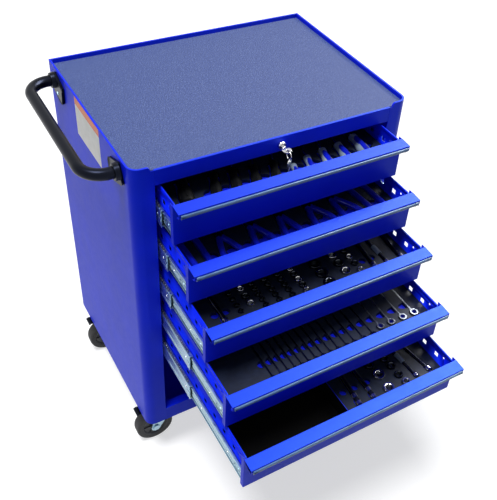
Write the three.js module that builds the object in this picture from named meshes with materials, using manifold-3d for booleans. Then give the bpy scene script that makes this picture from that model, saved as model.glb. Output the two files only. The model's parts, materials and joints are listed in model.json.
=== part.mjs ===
// Tool cart: a painted sheet-steel cabinet on four casters with five drawers on ball-bearing
// slides, an open bay below them, a key lock that turns a bar behind the drawers, and a push
// handle on the left side. Millimetres, +Z up, the front faces -Y, +X is the right-hand side.
// Origin: under the middle of the cart's outline, on the floor. The drawers stand part open.
import * as THREE from "three";
import { mergeVertices } from "three/addons/utils/BufferGeometryUtils.js";
import Module from "manifold-3d";

const wasm = await Module();
wasm.setup();

// Gaps and overruns shared by all pieces
const seam = 0.3;
const bite = 0.2;
const overrun = 1;

// Cabinet
const cabinetWidth = 680;
const cabinetDepth = 495;
const cabinetHeight = 817;
const casterHeight = 131;
const cornerRadius = 24;
const wall = 1.2;
const backFlange = 15;
const postWidth = 50.5;
const postReturn = 22;
const postLip = 8;
const panThickness = 1.5;
const rimRise = 9.4;
const rimWall = 4.5;
const notchInset = 35;
const notchLength = 8;
const topRailHeight = 38;
const topRailLedge = 5;
const bottomRailHeight = 46.6;
const railDepth = 22;
const railLip = 8;
const matThickness = 3;
const matDrop = 1;

// Drawer stack
const drawerCount = 5;
const openingTopGap = 4.1;
const frontHeight = 102.3;
const frontGap = 3.4;
const frontSideGap = 7;
const restOpenings = [68, 136.5, 214.3, 307.9, 394.1];

// Drawer front with its pull flange and trim strip
const frontWall = 1.2;
const pullDepth = 28.3;
const pullDrop = 2.4;
const pullLip = 12;
const pullReturn = 7;
const frontFold = 12;
const trimInset = 5;
const trimProud = 3.4;
const trimShadow = 2.2;
const trimWrap = 5;
const trimRound = 1.6;

// Drawer box
const boxWall = 1;
const boxDrop = 98;
const sideDrop = 3;
const rearDrop = 14;
const hemWidth = 2.6;
const hemHeight = 6;
const sideCorner = 9;
const holeSize = 12;
const holePitch = 45;
const holeFirst = 56;
const holeDrop = 33;
const holeEndMargin = 40;
const pinHoleRadius = 2.6;
const pinHoleBack = 31;
const pinHoleDrop = 23;

// Ball-bearing slides: u runs from the drawer side outwards, v up and down from the centre
const slideClearance = 1;
const slideRearSpace = 52;
const slideDrop = 68;
const slideWidth = 12.7;
const slideMetal = 1.2;
const outerHalfHeight = 25;
const outerReach = 9.7;
const outerLip = 3;
const middleHalfHeight = 21;
const middleReach = 8.8;
const middleGap = 0.7;
const innerHalfHeight = 17;
const innerReach = 7;
const ballRowWidth = 3;
const ballRowGap = 0.4;
const ballRowInset = 12;
const middleRestShares = [0.467, 0.395, 0.299, 0.517, 0.398];
const uprightWidth = 70;
const uprightMetal = 1.5;

// Foam inlays: depth of each foam surface under its drawer's flange
const foamDrops = [50, 54, 53, 43, 55];
const foamRearSpace = 21;
const foamWidthShares = [1, 1, 1, 1, 0.5];
const matPadThickness = 3;
const dividerMetal = 1.2;
const dividerRise = 6;

// Tools in the foam. Places across are shares of the foam's half width from its middle, at a
// tool's near and far ends, and places along are shares of its depth from the front.
const toolRise = 2;
const gripRadius = 9;
const bladeRadius = 3.5;
const screwdriverShares = [[-0.78, -0.74], [-0.57, -0.49], [-0.4, -0.33], [-0.22, -0.15],
  [-0.05, 0.02], [0.12, 0.15], [0.27, 0.31], [0.44, 0.48], [0.62, 0.64], [0.8, 0.83]];
const gripSpanShares = [0.13, 0.28];
const bladeSpanShares = [0.27, 0.55];
const plierRadius = 6;
const plierShares = [[-0.64, -0.57, -0.48], [-0.35, -0.29, -0.19], [-0.08, -0.01, 0.05],
  [0.21, 0.27, 0.39], [0.46, 0.51, 0.63]];
const plierHandleShares = [0.12, 0.25];
const plierJawShares = [0.24, 0.36];
const socketRadius = 10;
const socketRise = 9;
const socketRowShares = [-0.77, -0.62, -0.49, -0.28, -0.16, -0.03, 0.19, 0.39, 0.51, 0.63, 0.77, 0.91];
const socketRowSpanShares = [0.1, 0.29];
const wrenchCount = 18;
const wrenchRadius = 4;
const wrenchFirstShare = -0.56;
const wrenchPitchShare = 0.062;
const wrenchGrowthShare = 1.036;
const wrenchNearShare = 0.16;
const wrenchFarShares = [0.34, 0.66];
const ratchetShares = [[-0.74, -0.68], [-0.44, -0.43], [0.49, 0.46], [0.78, 0.7]];
const ratchetSpanShares = [0.08, 0.26];
const socketColumnShares = [-0.1, 0.22];
const socketPlaceShares = [0.09, 0.17, 0.26];

// Handle
const tubeRadius = 13;
const handleReach = 71;
const handleDrop = 27;
const handleEndInset = 50.5;
const bendRadius = 48;
const bracketPlate = 5.5;
const bracketRound = 7;
const bracketCorners = [[3, 5], [-55, 26], [-45, 72], [21, 50]];
const bossWall = 5;
const socketDepth = 10;
const screwRadius = 5;
const screwHead = 2.5;
const screwPlace = [-20, 51];

// Lock, key and the rod that ends in a crank
const lockDrop = 29;
const bezelRadius = 9.3;
const bezelProud = 8;
const barrelRadius = 7;
const barrelDepth = 26;
const plugRadius = 5;
const lockNutRadius = 11;
const lockNutThick = 4;
const plugProud = 1.2;
const shoulderLength = 7;
const shoulderWidth = 8;
const bowRadius = 10.5;
const keyThick = 1.6;
const keyHoleRadius = 4;
const keyWeb = 2.4;
const rodRadius = 3;
const crankRadius = 10;
const crankThick = 4;
const crankThrow = 7.07;
const crankPinRadius = 2.5;

// Locking bar: a round bar behind the drawers that swings a finger in front of each rear wall
const barRadius = 4;
const barBehind = 24.5;
const barSwing = THREE.MathUtils.degToRad(45);
const barTail = 14;
const lockClearance = 0.65;
const leverThick = 4;
const pegRadius = 2.5;
const fingerStart = THREE.MathUtils.degToRad(65);
const fingerPast = 11.5;
const fingerWidth = 8;
const fingerHeight = 5;
const fingerOver = 1.5;
const fingerTip = 5;
const fingerDepth = 8;
const fingerMargin = 2.5;
const collarRadius = 7;
const collarHeight = 5;
const guideWall = 4;
const guideHeight = 12;
const guideSpace = 27;

// Key ring
const ringRadius = 9.5;
const ringWire = 0.8;
const ringSag = 0.65;

// Casters
const casterInsetX = 72;
const casterInsetY = 64.5;
const wheelHeadroom = 29;
const wheelWidth = 32;
const wheelSides = 24;
const treadShoulder = 4;
const rimRecess = 5;
const treadThickness = 15;
const hubRadius = 13;
const hubOverhang = 2;
const axleRadius = 6;
const axleHead = 10;
const axleHeadThick = 4;
const casterTrail = 34;
const legThick = 3;
const legEnd = 14;
const legTopHalf = 27;
const crownThick = 4;
const crownDrop = 13;
const raceRadius = 27;
const raceHeight = 4;
const plateThick = 4;
const plateLength = 104;
const plateWidth = 86;
const plateCorner = 8;
const plateBoltRadius = 4.5;
const plateBoltLength = 80;
const plateBoltWidth = 60;
const kingpinRadius = 6;
const kingpinHead = 9;
const kingpinHeadThick = 3;
const pedalPivotX = 28;
const pedalPivotDrop = 23;
const pedalBarrel = 4.6;
const pedalPin = 2.6;
const pedalMetal = 2.5;
const pedalWidth = 28;
const pedalTipX = 83;
const pedalTipDrop = 6;
const pedalKneeX = 45;
const pedalKneeDrop = 14;
const pedalNose = 7;

// Counts of facets
const arcSteps = 6;
const roundSides = 12;
const smallSides = 8;
const flatSides = 4;

// Finishes
const paintBlue = { color: 0x1b2fd0, roughness: 0.28, metalness: 0.1 };
const zinc = { color: 0xb9c4c8, roughness: 0.35, metalness: 0.9 };
const chrome = { color: 0xd8dadd, roughness: 0.12, metalness: 1 };
const blackPaint = { color: 0x15161a, roughness: 0.35, metalness: 0.2 };
const rubberMat = { color: 0x5c6886, roughness: 0.9, metalness: 0 };
const trimPlastic = { color: 0x3f628a, roughness: 0.5, metalness: 0 };
const foamBlack = { color: 0x14171f, roughness: 0.95, metalness: 0 };
const tyreBlack = { color: 0x1a1a1c, roughness: 0.8, metalness: 0 };

// Values worked out from the sizes above
const halfWidth = cabinetWidth / 2;
const front = -cabinetDepth / 2;
const back = cabinetDepth / 2;
const rimTop = casterHeight + cabinetHeight;
const railTop = rimTop - rimRise;
const railBottom = railTop - topRailHeight;
const deckTop = railTop - matDrop - matThickness - seam;
const deckBottom = deckTop - wall;
const panTop = casterHeight + panThickness;
const openingHalf = halfWidth - postWidth;
const frontPitch = frontHeight + frontGap;
const slideOuterX = openingHalf - seam;
const drawerHalf = slideOuterX - slideWidth;
const frontHalf = openingHalf - frontSideGap;
const slideInset = frontFold + slideClearance;
const slideLength = cabinetDepth - slideInset - slideRearSpace;
const boxRear = slideInset + slideLength;
const backPanelOuter = back - wall - seam;
const backPanelInner = backPanelOuter - wall;
const barY = front + boxRear + barBehind;
const crankPinX = crankThrow * Math.SQRT1_2;
const leverReach = crankPinX / Math.sin(barSwing / 2);
const pegSpread = (crankPinRadius + pegRadius + lockClearance) / Math.cos(barSwing / 2);
const leverNear = leverReach * Math.cos(barSwing / 2);
const pegSkew = pegSpread * Math.sin(barSwing / 2);
const crankRear = barY - leverNear - pegSkew - pegRadius - lockClearance;
const fingerReach = barBehind + fingerPast;
const lockZ = rimTop - lockDrop;
const handleX = halfWidth + handleReach;
const handleHalfSpan = back - handleEndInset;
const wheelRadius = (casterHeight - wheelHeadroom) / 2;
const wheelRimRadius = wheelRadius - treadThickness;
const trimFront = pullDepth + trimProud;
const lowestReach = Math.max(...restOpenings) + trimFront;
const originShiftX = (handleX + tubeRadius - halfWidth) / 2;
const originShiftY = lowestReach / 2;

const xAxis = new THREE.Vector3(1, 0, 0);
const yAxis = new THREE.Vector3(0, 1, 0);
const zAxis = new THREE.Vector3(0, 0, 1);

function flangeTop(index) {
  return railBottom - openingTopGap - index * frontPitch;
}

function point(x, y) {
  return new THREE.Vector2(x, y);
}

// Points of an arc from one angle to another, both ends included.
function arc(x, y, radius, from, to, steps = arcSteps) {
  const points = [];
  for (let i = 0; i <= steps; i++) {
    const angle = from + ((to - from) * i) / steps;
    points.push(point(x + radius * Math.cos(angle), y + radius * Math.sin(angle)));
  }
  return points;
}

// A path moved sideways by a distance, to its right when positive, with mitred corners.
function offsetPath(path, distance) {
  return path.map((corner, i) => {
    const into = i > 0 ? corner.clone().sub(path[i - 1]).normalize() : null;
    const out = i < path.length - 1 ? path[i + 1].clone().sub(corner).normalize() : null;
    const a = into ?? out;
    const b = out ?? into;
    const miter = point(a.y + b.y, -a.x - b.x);
    return corner.clone().addScaledVector(miter, distance / (1 + a.dot(b)));
  });
}

// The section of a bent sheet: a path along one face, thickened to its right.
function bentSheet(path, thickness) {
  return new THREE.Shape([...path, ...offsetPath(path, thickness).reverse()]);
}

// A polygon with its corners rounded.
function roundedPolygon(corners, radius, steps = arcSteps) {
  const points = [];
  corners.forEach((corner, i) => {
    const before = corners[(i + corners.length - 1) % corners.length].clone().sub(corner).normalize();
    const after = corners[(i + 1) % corners.length].clone().sub(corner).normalize();
    const halfAngle = before.angleTo(after) / 2;
    const middle = before.clone().add(after).normalize();
    const centre = corner.clone().addScaledVector(middle, radius / Math.sin(halfAngle));
    const start = corner.clone().addScaledVector(before, radius / Math.tan(halfAngle)).sub(centre);
    const end = corner.clone().addScaledVector(after, radius / Math.tan(halfAngle)).sub(centre);
    const sweep = Math.atan2(start.cross(end), start.dot(end));
    for (let k = 0; k <= steps; k++) {
      points.push(start.clone().rotateAround(point(0, 0), (sweep * k) / steps).add(centre));
    }
  });
  return new THREE.Shape(points);
}

function extrude(shape, length) {
  return new THREE.ExtrudeGeometry(shape, { depth: length, bevelEnabled: false, curveSegments: arcSteps });
}

// A plan outline in X and Y, raised from one height to another.
function alongZ(shape, low, high) {
  return extrude(shape, high - low).translate(0, 0, low);
}

// A section in Y and Z, run along X.
function alongX(shape, low, high) {
  const piece = extrude(shape, high - low);
  piece.applyMatrix4(new THREE.Matrix4().makeBasis(yAxis, zAxis, xAxis));
  return piece.translate(low, 0, 0);
}

// A section in X and Z, run along Y.
function alongY(shape, low, high) {
  const piece = extrude(shape, high - low);
  piece.applyMatrix4(new THREE.Matrix4().makeBasis(xAxis, zAxis, yAxis.clone().negate()));
  return piece.translate(0, high, 0);
}

function block(left, right, near, far, low, high) {
  const box = new THREE.BoxGeometry(right - left, far - near, high - low);
  return box.translate((left + right) / 2, (near + far) / 2, (low + high) / 2);
}

// A round bar between two points on a line along one axis.
function bar(radius, axis, from, to, sides = roundSides) {
  const cylinder = new THREE.CylinderGeometry(radius, radius, Math.abs(to - from), sides);
  cylinder.rotateY(Math.PI / sides);
  if (axis === xAxis) cylinder.rotateZ(-Math.PI / 2);
  if (axis === zAxis) cylinder.rotateX(Math.PI / 2);
  const middle = (from + to) / 2;
  return cylinder.translate(axis.x * middle, axis.y * middle, axis.z * middle);
}

// A round cutter whose flats clear a bar of the given radius.
function bore(radius, axis, from, to, sides = roundSides) {
  return bar(radius / Math.cos(Math.PI / sides), axis, from, to, sides);
}

// A turned piece about the Y axis from a closed list of [radius, place along the axis].
function turned(profile, sides) {
  const closed = [...profile, profile[0]].map(([radius, place]) => point(radius, place));
  return new THREE.LatheGeometry(closed, sides, Math.PI / sides);
}

function toSolid(geometry) {
  const bare = geometry.clone();
  bare.deleteAttribute("normal");
  bare.deleteAttribute("uv");
  const welded = mergeVertices(bare);
  return new wasm.Manifold(new wasm.Mesh({
    numProp: 3,
    vertProperties: new Float32Array(welded.attributes.position.array),
    triVerts: new Uint32Array(welded.index.array),
  }));
}

function toGeometry(solid) {
  const mesh = solid.getMesh();
  const geometry = new THREE.BufferGeometry();
  geometry.setAttribute("position", new THREE.BufferAttribute(mesh.vertProperties, 3));
  geometry.setIndex(new THREE.BufferAttribute(mesh.triVerts, 1));
  geometry.computeVertexNormals();
  return geometry;
}

function join(...pieces) {
  return toGeometry(pieces.map(toSolid).reduce((sum, piece) => sum.add(piece)));
}

function cut(piece, ...tools) {
  return toGeometry(tools.map(toSolid).reduce((rest, tool) => rest.subtract(tool), toSolid(piece)));
}

// The mirror image of a piece across the plane X = 0.
function mirrored(piece) {
  const copy = toGeometry(toSolid(piece)).scale(-1, 1, 1);
  const index = copy.index.array;
  for (let i = 0; i < index.length; i += 3) {
    [index[i], index[i + 1]] = [index[i + 1], index[i]];
  }
  copy.computeVertexNormals();
  return copy;
}

function mesh(name, geometry, finish, parent) {
  const piece = new THREE.Mesh(geometry, new THREE.MeshStandardMaterial(finish));
  piece.name = name;
  parent.add(piece);
  return piece;
}

function group(parent, x, y, z) {
  const holder = new THREE.Group();
  holder.position.set(x, y, z);
  parent.add(holder);
  return holder;
}

// Plan path of the cabinet's right-hand outer face: back corner, side, front corner, front.
function sidePath(frontEnd) {
  return [
    point(halfWidth, back),
    ...arc(halfWidth - cornerRadius, front + cornerRadius, cornerRadius, 0, -Math.PI / 2),
    point(frontEnd, front),
  ];
}

// Plan outline of a plate that fills the cabinet, inset from its outer face.
function cabinetPlan(inset, frontInset, rear) {
  const side = halfWidth - inset;
  const near = front + frontInset;
  const radius = cornerRadius - inset;
  return new THREE.Shape([
    point(side, rear),
    point(-side, rear),
    ...arc(-side + radius, near + radius, radius, Math.PI, Math.PI * 1.5),
    ...arc(side - radius, near + radius, radius, Math.PI * 1.5, Math.PI * 2),
  ]);
}

// Right side panel: one sheet folded round the back edge, the front corner and the post.
function sidePanel() {
  const low = panTop + seam;
  const foldedTop = deckBottom - seam;
  const postInner = point(openingHalf, front + postReturn);
  const folded = [
    point(halfWidth - backFlange, back),
    ...sidePath(openingHalf),
    postInner,
    point(openingHalf + postLip, postInner.y),
  ];
  const lower = alongZ(bentSheet(folded, wall), low, foldedTop);
  const upper = alongZ(bentSheet(sidePath(openingHalf), wall), foldedTop - bite, railTop);
  const rimEnd = halfWidth - notchInset - notchLength;
  const rim = alongZ(bentSheet(sidePath(rimEnd), rimWall), deckTop + seam, rimTop);
  return cut(join(lower, upper, rim), rimNotch(rimEnd));
}

// The cutter for the rounded step down from the rim to the level of the top rail.
function rimNotch(rimEnd) {
  const rise = rimTop - railTop;
  const shape = new THREE.Shape([
    point(rimEnd - overrun, railTop),
    ...Array.from({ length: arcSteps + 1 }, (_, i) => {
      const angle = (Math.PI / 2) * (i / arcSteps);
      return point(rimEnd + notchLength * (1 - Math.cos(angle)), railTop + rise * Math.sin(angle));
    }),
    point(rimEnd + notchLength, rimTop + overrun),
    point(rimEnd - overrun, rimTop + overrun),
  ]);
  return alongY(shape, front - overrun, front + rimWall + overrun);
}

// Back panel: a flat sheet inside the side flanges, with the rim along its top and the guides
// of the locking bar on its inner face.
function backPanel() {
  const sheetHalf = halfWidth - wall - seam;
  const rimHalf = halfWidth - rimWall - seam;
  const rimLow = deckTop + seam;
  const sheet = block(-sheetHalf, sheetHalf, backPanelInner, backPanelOuter, panTop + seam, deckTop);
  const neck = block(-rimHalf, rimHalf, backPanelInner, backPanelOuter, deckBottom, rimLow + bite);
  const rim = block(-rimHalf, rimHalf, back - rimWall, back, rimLow, rimTop);
  const guides = [flangeTop(0) - guideSpace, flangeTop(drawerCount - 1) + guideSpace];
  return join(sheet, neck, rim, ...guides.map(barGuide));
}

// A bearing block with a round hole for the locking bar.
function barGuide(height) {
  const half = barRadius + guideWall;
  const outer = block(-half, half, barY - half, backPanelInner + bite, height - guideHeight / 2,
    height + guideHeight / 2);
  const hole = bore(barRadius + seam, zAxis, height - guideHeight, height + guideHeight, smallSides);
  return cut(outer, hole.translate(0, barY, 0));
}

// Deck sheet under the mat.
function deckPanel() {
  return alongZ(cabinetPlan(wall + seam, wall + seam, backPanelInner - seam), deckBottom, deckTop);
}

// Rubber mat inside the rim.
function topMat() {
  const plan = cabinetPlan(rimWall + seam, topRailLedge + seam, back - rimWall - seam);
  return alongZ(plan, deckTop + seam, deckTop + seam + matThickness);
}

// Top rail: a folded channel between the posts, with a hole for the lock.
function topRail() {
  const path = [
    point(front + railDepth, railBottom + railLip),
    point(front + railDepth, railBottom),
    point(front, railBottom),
    point(front, railTop),
    point(front + topRailLedge, railTop),
  ];
  const rail = alongX(bentSheet(path, wall), -openingHalf + seam, openingHalf - seam);
  const hole = bore(barrelRadius + seam, yAxis, front - overrun, front + wall + overrun);
  return cut(rail, hole.translate(0, 0, lockZ));
}

// Base pan with the bottom front rail folded up between the posts.
function floorPanel() {
  const pan = alongZ(cabinetPlan(0, 0, back), casterHeight, panTop);
  const top = casterHeight + bottomRailHeight;
  const path = [
    point(front, casterHeight),
    point(front, top),
    point(front + railDepth, top),
    point(front + railDepth, top - railLip),
  ];
  return join(pan, alongX(bentSheet(path, wall), -openingHalf + seam, openingHalf - seam));
}

// Section of a slide member: a channel that opens towards lower u when reach is positive.
function channel(web, halfHeight, reach, lip, metal) {
  const tip = web - reach;
  const path = [
    point(tip, halfHeight - lip),
    point(tip, halfHeight),
    point(web, halfHeight),
    point(web, -halfHeight),
    point(tip, -halfHeight),
    point(tip, -halfHeight + lip),
  ];
  const used = lip > 0 ? path : path.slice(1, -1);
  return bentSheet(used, Math.sign(reach) * metal);
}

// Right-hand cabinet members of all the slides, carried by an angle upright at the back.
function slideFrame() {
  const members = restOpenings.map((_, i) => {
    const section = channel(slideWidth, outerHalfHeight, outerReach, outerLip, slideMetal);
    const member = alongY(section, front + slideInset, front + slideInset + slideLength);
    return member.translate(drawerHalf, 0, flangeTop(i) - slideDrop);
  });
  const rear = backPanelInner - seam;
  const path = [
    point(halfWidth - wall - seam, rear),
    point(slideOuterX - bite, rear),
    point(slideOuterX - bite, rear - uprightWidth),
  ];
  return join(alongZ(bentSheet(path, -uprightMetal), panTop + seam, deckBottom - seam), ...members);
}

// Right-hand middle member of a slide: a channel with a row of balls on each side of its
// flanges, between the cabinet member and the drawer member.
function slideMiddle() {
  const web = slideWidth - slideMetal - middleGap;
  const outerRace = outerHalfHeight - slideMetal - ballRowGap;
  const innerFace = middleHalfHeight - slideMetal;
  const innerRace = innerHalfHeight + ballRowGap;
  const section = channel(web, middleHalfHeight, middleReach, 0, slideMetal);
  const rail = alongY(section, 0, slideLength);
  const rowU = (web - middleReach + innerReach) / 2 + ballRowWidth / 2;
  const rows = [1, -1].flatMap((side) => [
    ballRow(rowU, side * (middleHalfHeight - bite), side * outerRace),
    ballRow(rowU, side * (innerFace + bite), side * innerRace),
  ]);
  return join(rail, ...rows);
}

// A retainer strip of balls between two heights.
function ballRow(middle, from, to) {
  const low = Math.min(from, to);
  const high = Math.max(from, to);
  return block(middle - ballRowWidth / 2, middle + ballRowWidth / 2, ballRowInset,
    slideLength - ballRowInset, low, high);
}

// Right-hand drawer member of a slide, seen from the drawer's own frame.
function slideInner() {
  const section = channel(0, innerHalfHeight, -innerReach, 0, slideMetal);
  const member = alongY(section, frontFold + seam, boxRear);
  return member.translate(drawerHalf, 0, -slideDrop);
}

// Drawer box: folded sides and bottom, hemmed top edges, punched rows of square holes, a rear
// wall and a front wall, and the drawer members of both slides.
function drawerBox() {
  const near = frontWall + seam;
  const path = [
    point(-drawerHalf, -sideDrop),
    point(-drawerHalf, -boxDrop),
    point(drawerHalf, -boxDrop),
    point(drawerHalf, -sideDrop),
  ];
  const tray = alongY(bentSheet(path, -boxWall), near, boxRear);
  const inner = drawerHalf - boxWall + bite;
  const hem = block(drawerHalf - hemWidth, drawerHalf - bite, near, boxRear, -sideDrop - hemHeight,
    -sideDrop);
  const rear = block(-inner, inner, boxRear - boxWall, boxRear, -boxDrop + bite, -rearDrop);
  const frontPlate = block(-inner, inner, near, near + boxWall, -boxDrop + bite, -sideDrop - sideCorner);
  const member = slideInner().translate(-bite, 0, 0);
  const solid = join(tray, hem, mirrored(hem), rear, frontPlate, member, mirrored(member));
  return cut(solid, ...sideHoles(), cornerCutter(near), fingerNotch());
}

// The cutter for the notch in the rear wall through which the finger of the locking bar swings.
function fingerNotch() {
  const crossing = (radius) => Math.sqrt(radius * radius - barBehind * barBehind);
  const outer = crossing(fingerReach + fingerTip / 2) + fingerMargin;
  const inner = crossing(fingerReach - fingerTip / 2) - fingerMargin;
  return block(-outer, -inner, boxRear - boxWall - overrun, boxRear + overrun,
    -rearDrop - fingerDepth - fingerMargin, -rearDrop + overrun);
}

// Cutters that pass through both drawer sides: the square holes and one small round hole.
function sideHoles() {
  const reach = drawerHalf + overrun;
  const count = Math.floor((boxRear - holeFirst - holeEndMargin) / holePitch) + 1;
  const cutters = [];
  for (let i = 0; i < count; i++) {
    const place = holeFirst + i * holePitch;
    cutters.push(block(-reach, reach, place - holeSize / 2, place + holeSize / 2,
      -holeDrop - holeSize / 2, -holeDrop + holeSize / 2));
  }
  const pinHole = bore(pinHoleRadius, xAxis, -reach, reach, smallSides);
  return [...cutters, pinHole.translate(0, pinHoleBack, -pinHoleDrop)];
}

// The cutter that rounds the front top corners of the drawer sides.
function cornerCutter(near) {
  const top = -sideDrop;
  const shape = new THREE.Shape([
    point(near - overrun, top + overrun),
    point(near - overrun, top - sideCorner),
    ...arc(near + sideCorner, top - sideCorner, sideCorner, Math.PI, Math.PI / 2),
    point(near + sideCorner, top + overrun),
  ]);
  return alongX(shape, -drawerHalf - overrun, drawerHalf + overrun);
}

// Drawer front: one sheet bent into the face, the pull flange on top and its front lip, with
// folded side edges.
function drawerFront() {
  const lipBottom = -pullDrop - pullLip;
  const path = [
    point(-pullDepth + pullReturn, lipBottom),
    point(-pullDepth, lipBottom),
    point(-pullDepth, -pullDrop),
    point(frontWall, 0),
    point(frontWall, -frontHeight + frontWall),
    point(frontFold, -frontHeight + frontWall),
  ];
  const sheet = alongX(bentSheet(path, frontWall), -frontHalf, frontHalf);
  const foldInner = drawerHalf + seam;
  const fold = block(Math.max(foldInner, frontHalf - frontWall), frontHalf, frontWall - bite, frontFold,
    -frontHeight, -frontWall);
  return join(sheet, fold, mirrored(fold));
}

// Trim strip clipped round the lip of the pull flange.
function pullTrim() {
  const high = -pullDrop - trimShadow;
  const low = -pullDrop - pullLip - seam - trimRound;
  const face = -trimFront;
  const rearFace = -pullDepth + frontWall + seam;
  const lipFace = -pullDepth - seam;
  const shape = new THREE.Shape([
    point(lipFace, high),
    ...arc(face + trimRound, high - trimRound, trimRound, Math.PI / 2, Math.PI, arcSteps / 2),
    ...arc(face + trimRound, low + trimRound, trimRound, Math.PI, Math.PI * 1.5, arcSteps / 2),
    point(rearFace + trimWrap, low),
    point(rearFace + trimWrap, low + trimRound),
    point(lipFace, low + trimRound),
  ]);
  return alongX(shape, -frontHalf + trimInset, frontHalf - trimInset);
}

// Space of one drawer's foam: across the whole drawer or its right-hand share.
function foamSpace(index) {
  const right = drawerHalf - boxWall - seam;
  const half = right * foamWidthShares[index];
  const near = frontWall + seam + boxWall + seam;
  const far = boxRear - boxWall - foamRearSpace;
  const low = -boxDrop + boxWall + seam;
  return { half, middle: right - half, near, far, low, top: -foamDrops[index] };
}

// Foam inlay with its tools, which lie half sunk in it.
function foamInlay(index) {
  const foam = foamSpace(index);
  const slab = block(foam.middle - foam.half, foam.middle + foam.half, foam.near, foam.far, foam.low,
    foam.top);
  const tools = [screwdrivers, pliers, socketRows, wrenches, ratchets][index];
  return join(slab, ...tools(foam));
}

// A bar laid in the foam from a near place to a far one.
function laidBar(foam, radius, across, along, sides = arcSteps) {
  const ends = across.map((share, i) => point(foam.middle + share * foam.half,
    foam.near + along[i] * (foam.far - foam.near)));
  const run = ends[1].clone().sub(ends[0]);
  const tool = bar(radius, yAxis, 0, run.length(), sides).rotateZ(-Math.atan2(run.x, run.y));
  return tool.translate(ends[0].x, ends[0].y, foam.top + toolRise);
}

// Grips towards the drawer front, each with its blade behind it.
function screwdrivers(foam) {
  return screwdriverShares.flatMap((across) => {
    const far = [across[1], across[1] + (across[1] - across[0])];
    const grip = laidBar(foam, gripRadius, across, gripSpanShares);
    return [grip, laidBar(foam, bladeRadius, far, bladeSpanShares, flatSides)];
  });
}

// Two spread handles and the jaws of each pair of pliers.
function pliers(foam) {
  return plierShares.flatMap(([left, jaws, right]) => [
    laidBar(foam, plierRadius, [left, jaws], plierHandleShares),
    laidBar(foam, plierRadius, [right, jaws], plierHandleShares),
    laidBar(foam, plierRadius, [jaws, jaws], plierJawShares),
  ]);
}

// Rows of sockets and bits, each row as one bar.
function socketRows(foam) {
  return socketRowShares.map((across) => laidBar(foam, socketRadius, [across, across], socketRowSpanShares));
}

// A fan of combination wrenches that grow in length and pitch.
function wrenches(foam) {
  const tools = [];
  let across = wrenchFirstShare;
  let pitch = wrenchPitchShare;
  const [shortest, longest] = wrenchFarShares;
  for (let i = 0; i < wrenchCount; i++) {
    const far = shortest + ((longest - shortest) * i) / wrenchCount;
    tools.push(laidBar(foam, wrenchRadius, [across, across], [wrenchNearShare, far], flatSides));
    across += pitch;
    pitch *= wrenchGrowthShare;
  }
  return tools;
}

// Ratchets and extension bars, with two columns of standing sockets between them.
function ratchets(foam) {
  const bars = ratchetShares.map((across) => laidBar(foam, plierRadius, across, ratchetSpanShares));
  const sockets = socketColumnShares.flatMap((across) => socketPlaceShares.map((along) =>
    bar(socketRadius, zAxis, foam.top - bite, foam.top + socketRise, smallSides).translate(
      foam.middle + across * foam.half, foam.near + along * (foam.far - foam.near), 0)));
  return [...bars, ...sockets];
}

// One drawer with its box, front, trim and foam inlay.
function addDrawer(parent, index) {
  const drawer = group(parent, 0, front - restOpenings[index], flangeTop(index));
  const name = `drawer_${index + 1}`;
  mesh(`${name}_box`, drawerBox(), paintBlue, drawer);
  mesh(`${name}_front`, drawerFront(), paintBlue, drawer);
  mesh(`${name}_pull_trim`, pullTrim(), trimPlastic, drawer);
  mesh(`${name}_tool_inlay`, foamInlay(index), foamBlack, drawer);
  if (foamWidthShares[index] < 1) {
    mesh(`${name}_mat`, drawerMat(index), foamBlack, drawer);
    mesh(`${name}_divider`, drawerDivider(index), paintBlue, drawer);
  }
}

// Thin mat in the part of a drawer that has no foam.
function drawerMat(index) {
  const foam = foamSpace(index);
  const left = -drawerHalf + boxWall + seam;
  const right = foam.middle - foam.half - seam - dividerMetal - seam;
  return block(left, right, foam.near, foam.far, foam.low, foam.low + matPadThickness);
}

// Upright sheet between the foam and the mat.
function drawerDivider(index) {
  const foam = foamSpace(index);
  const right = foam.middle - foam.half - seam;
  return block(right - dividerMetal, right, foam.near, foam.far, foam.low, foam.top + dividerRise);
}

// Middle members of one drawer's two slides, carried out by a share of the drawer's opening.
function addSlideMiddles(parent, index) {
  const carried = restOpenings[index] * middleRestShares[index];
  const holder = group(parent, 0, front + slideInset - carried, flangeTop(index) - slideDrop);
  const right = slideMiddle().translate(drawerHalf, 0, 0);
  mesh(`drawer_${index + 1}_slide_middle_left`, mirrored(right), zinc, holder);
  mesh(`drawer_${index + 1}_slide_middle_right`, right, zinc, holder);
}

// A path through exact points, for sweeping a section along straights and bends.
class Route extends THREE.Curve {
  constructor(points) {
    super();
    this.points = points;
  }

  getPoint(share, target = new THREE.Vector3()) {
    const place = share * (this.points.length - 1);
    const index = Math.min(Math.floor(place), this.points.length - 2);
    return target.lerpVectors(this.points[index], this.points[index + 1], place - index);
  }

  getPointAt(share, target) {
    return this.getPoint(share, target);
  }

  getTangentAt(share, target = new THREE.Vector3()) {
    const place = Math.round(share * (this.points.length - 1));
    const before = this.points[Math.max(place - 1, 0)];
    const here = this.points[place];
    const after = this.points[Math.min(place + 1, this.points.length - 1)];
    const into = here.clone().sub(before).normalize();
    const out = after.clone().sub(here).normalize();
    return target.copy(into.add(out)).normalize();
  }
}

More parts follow.
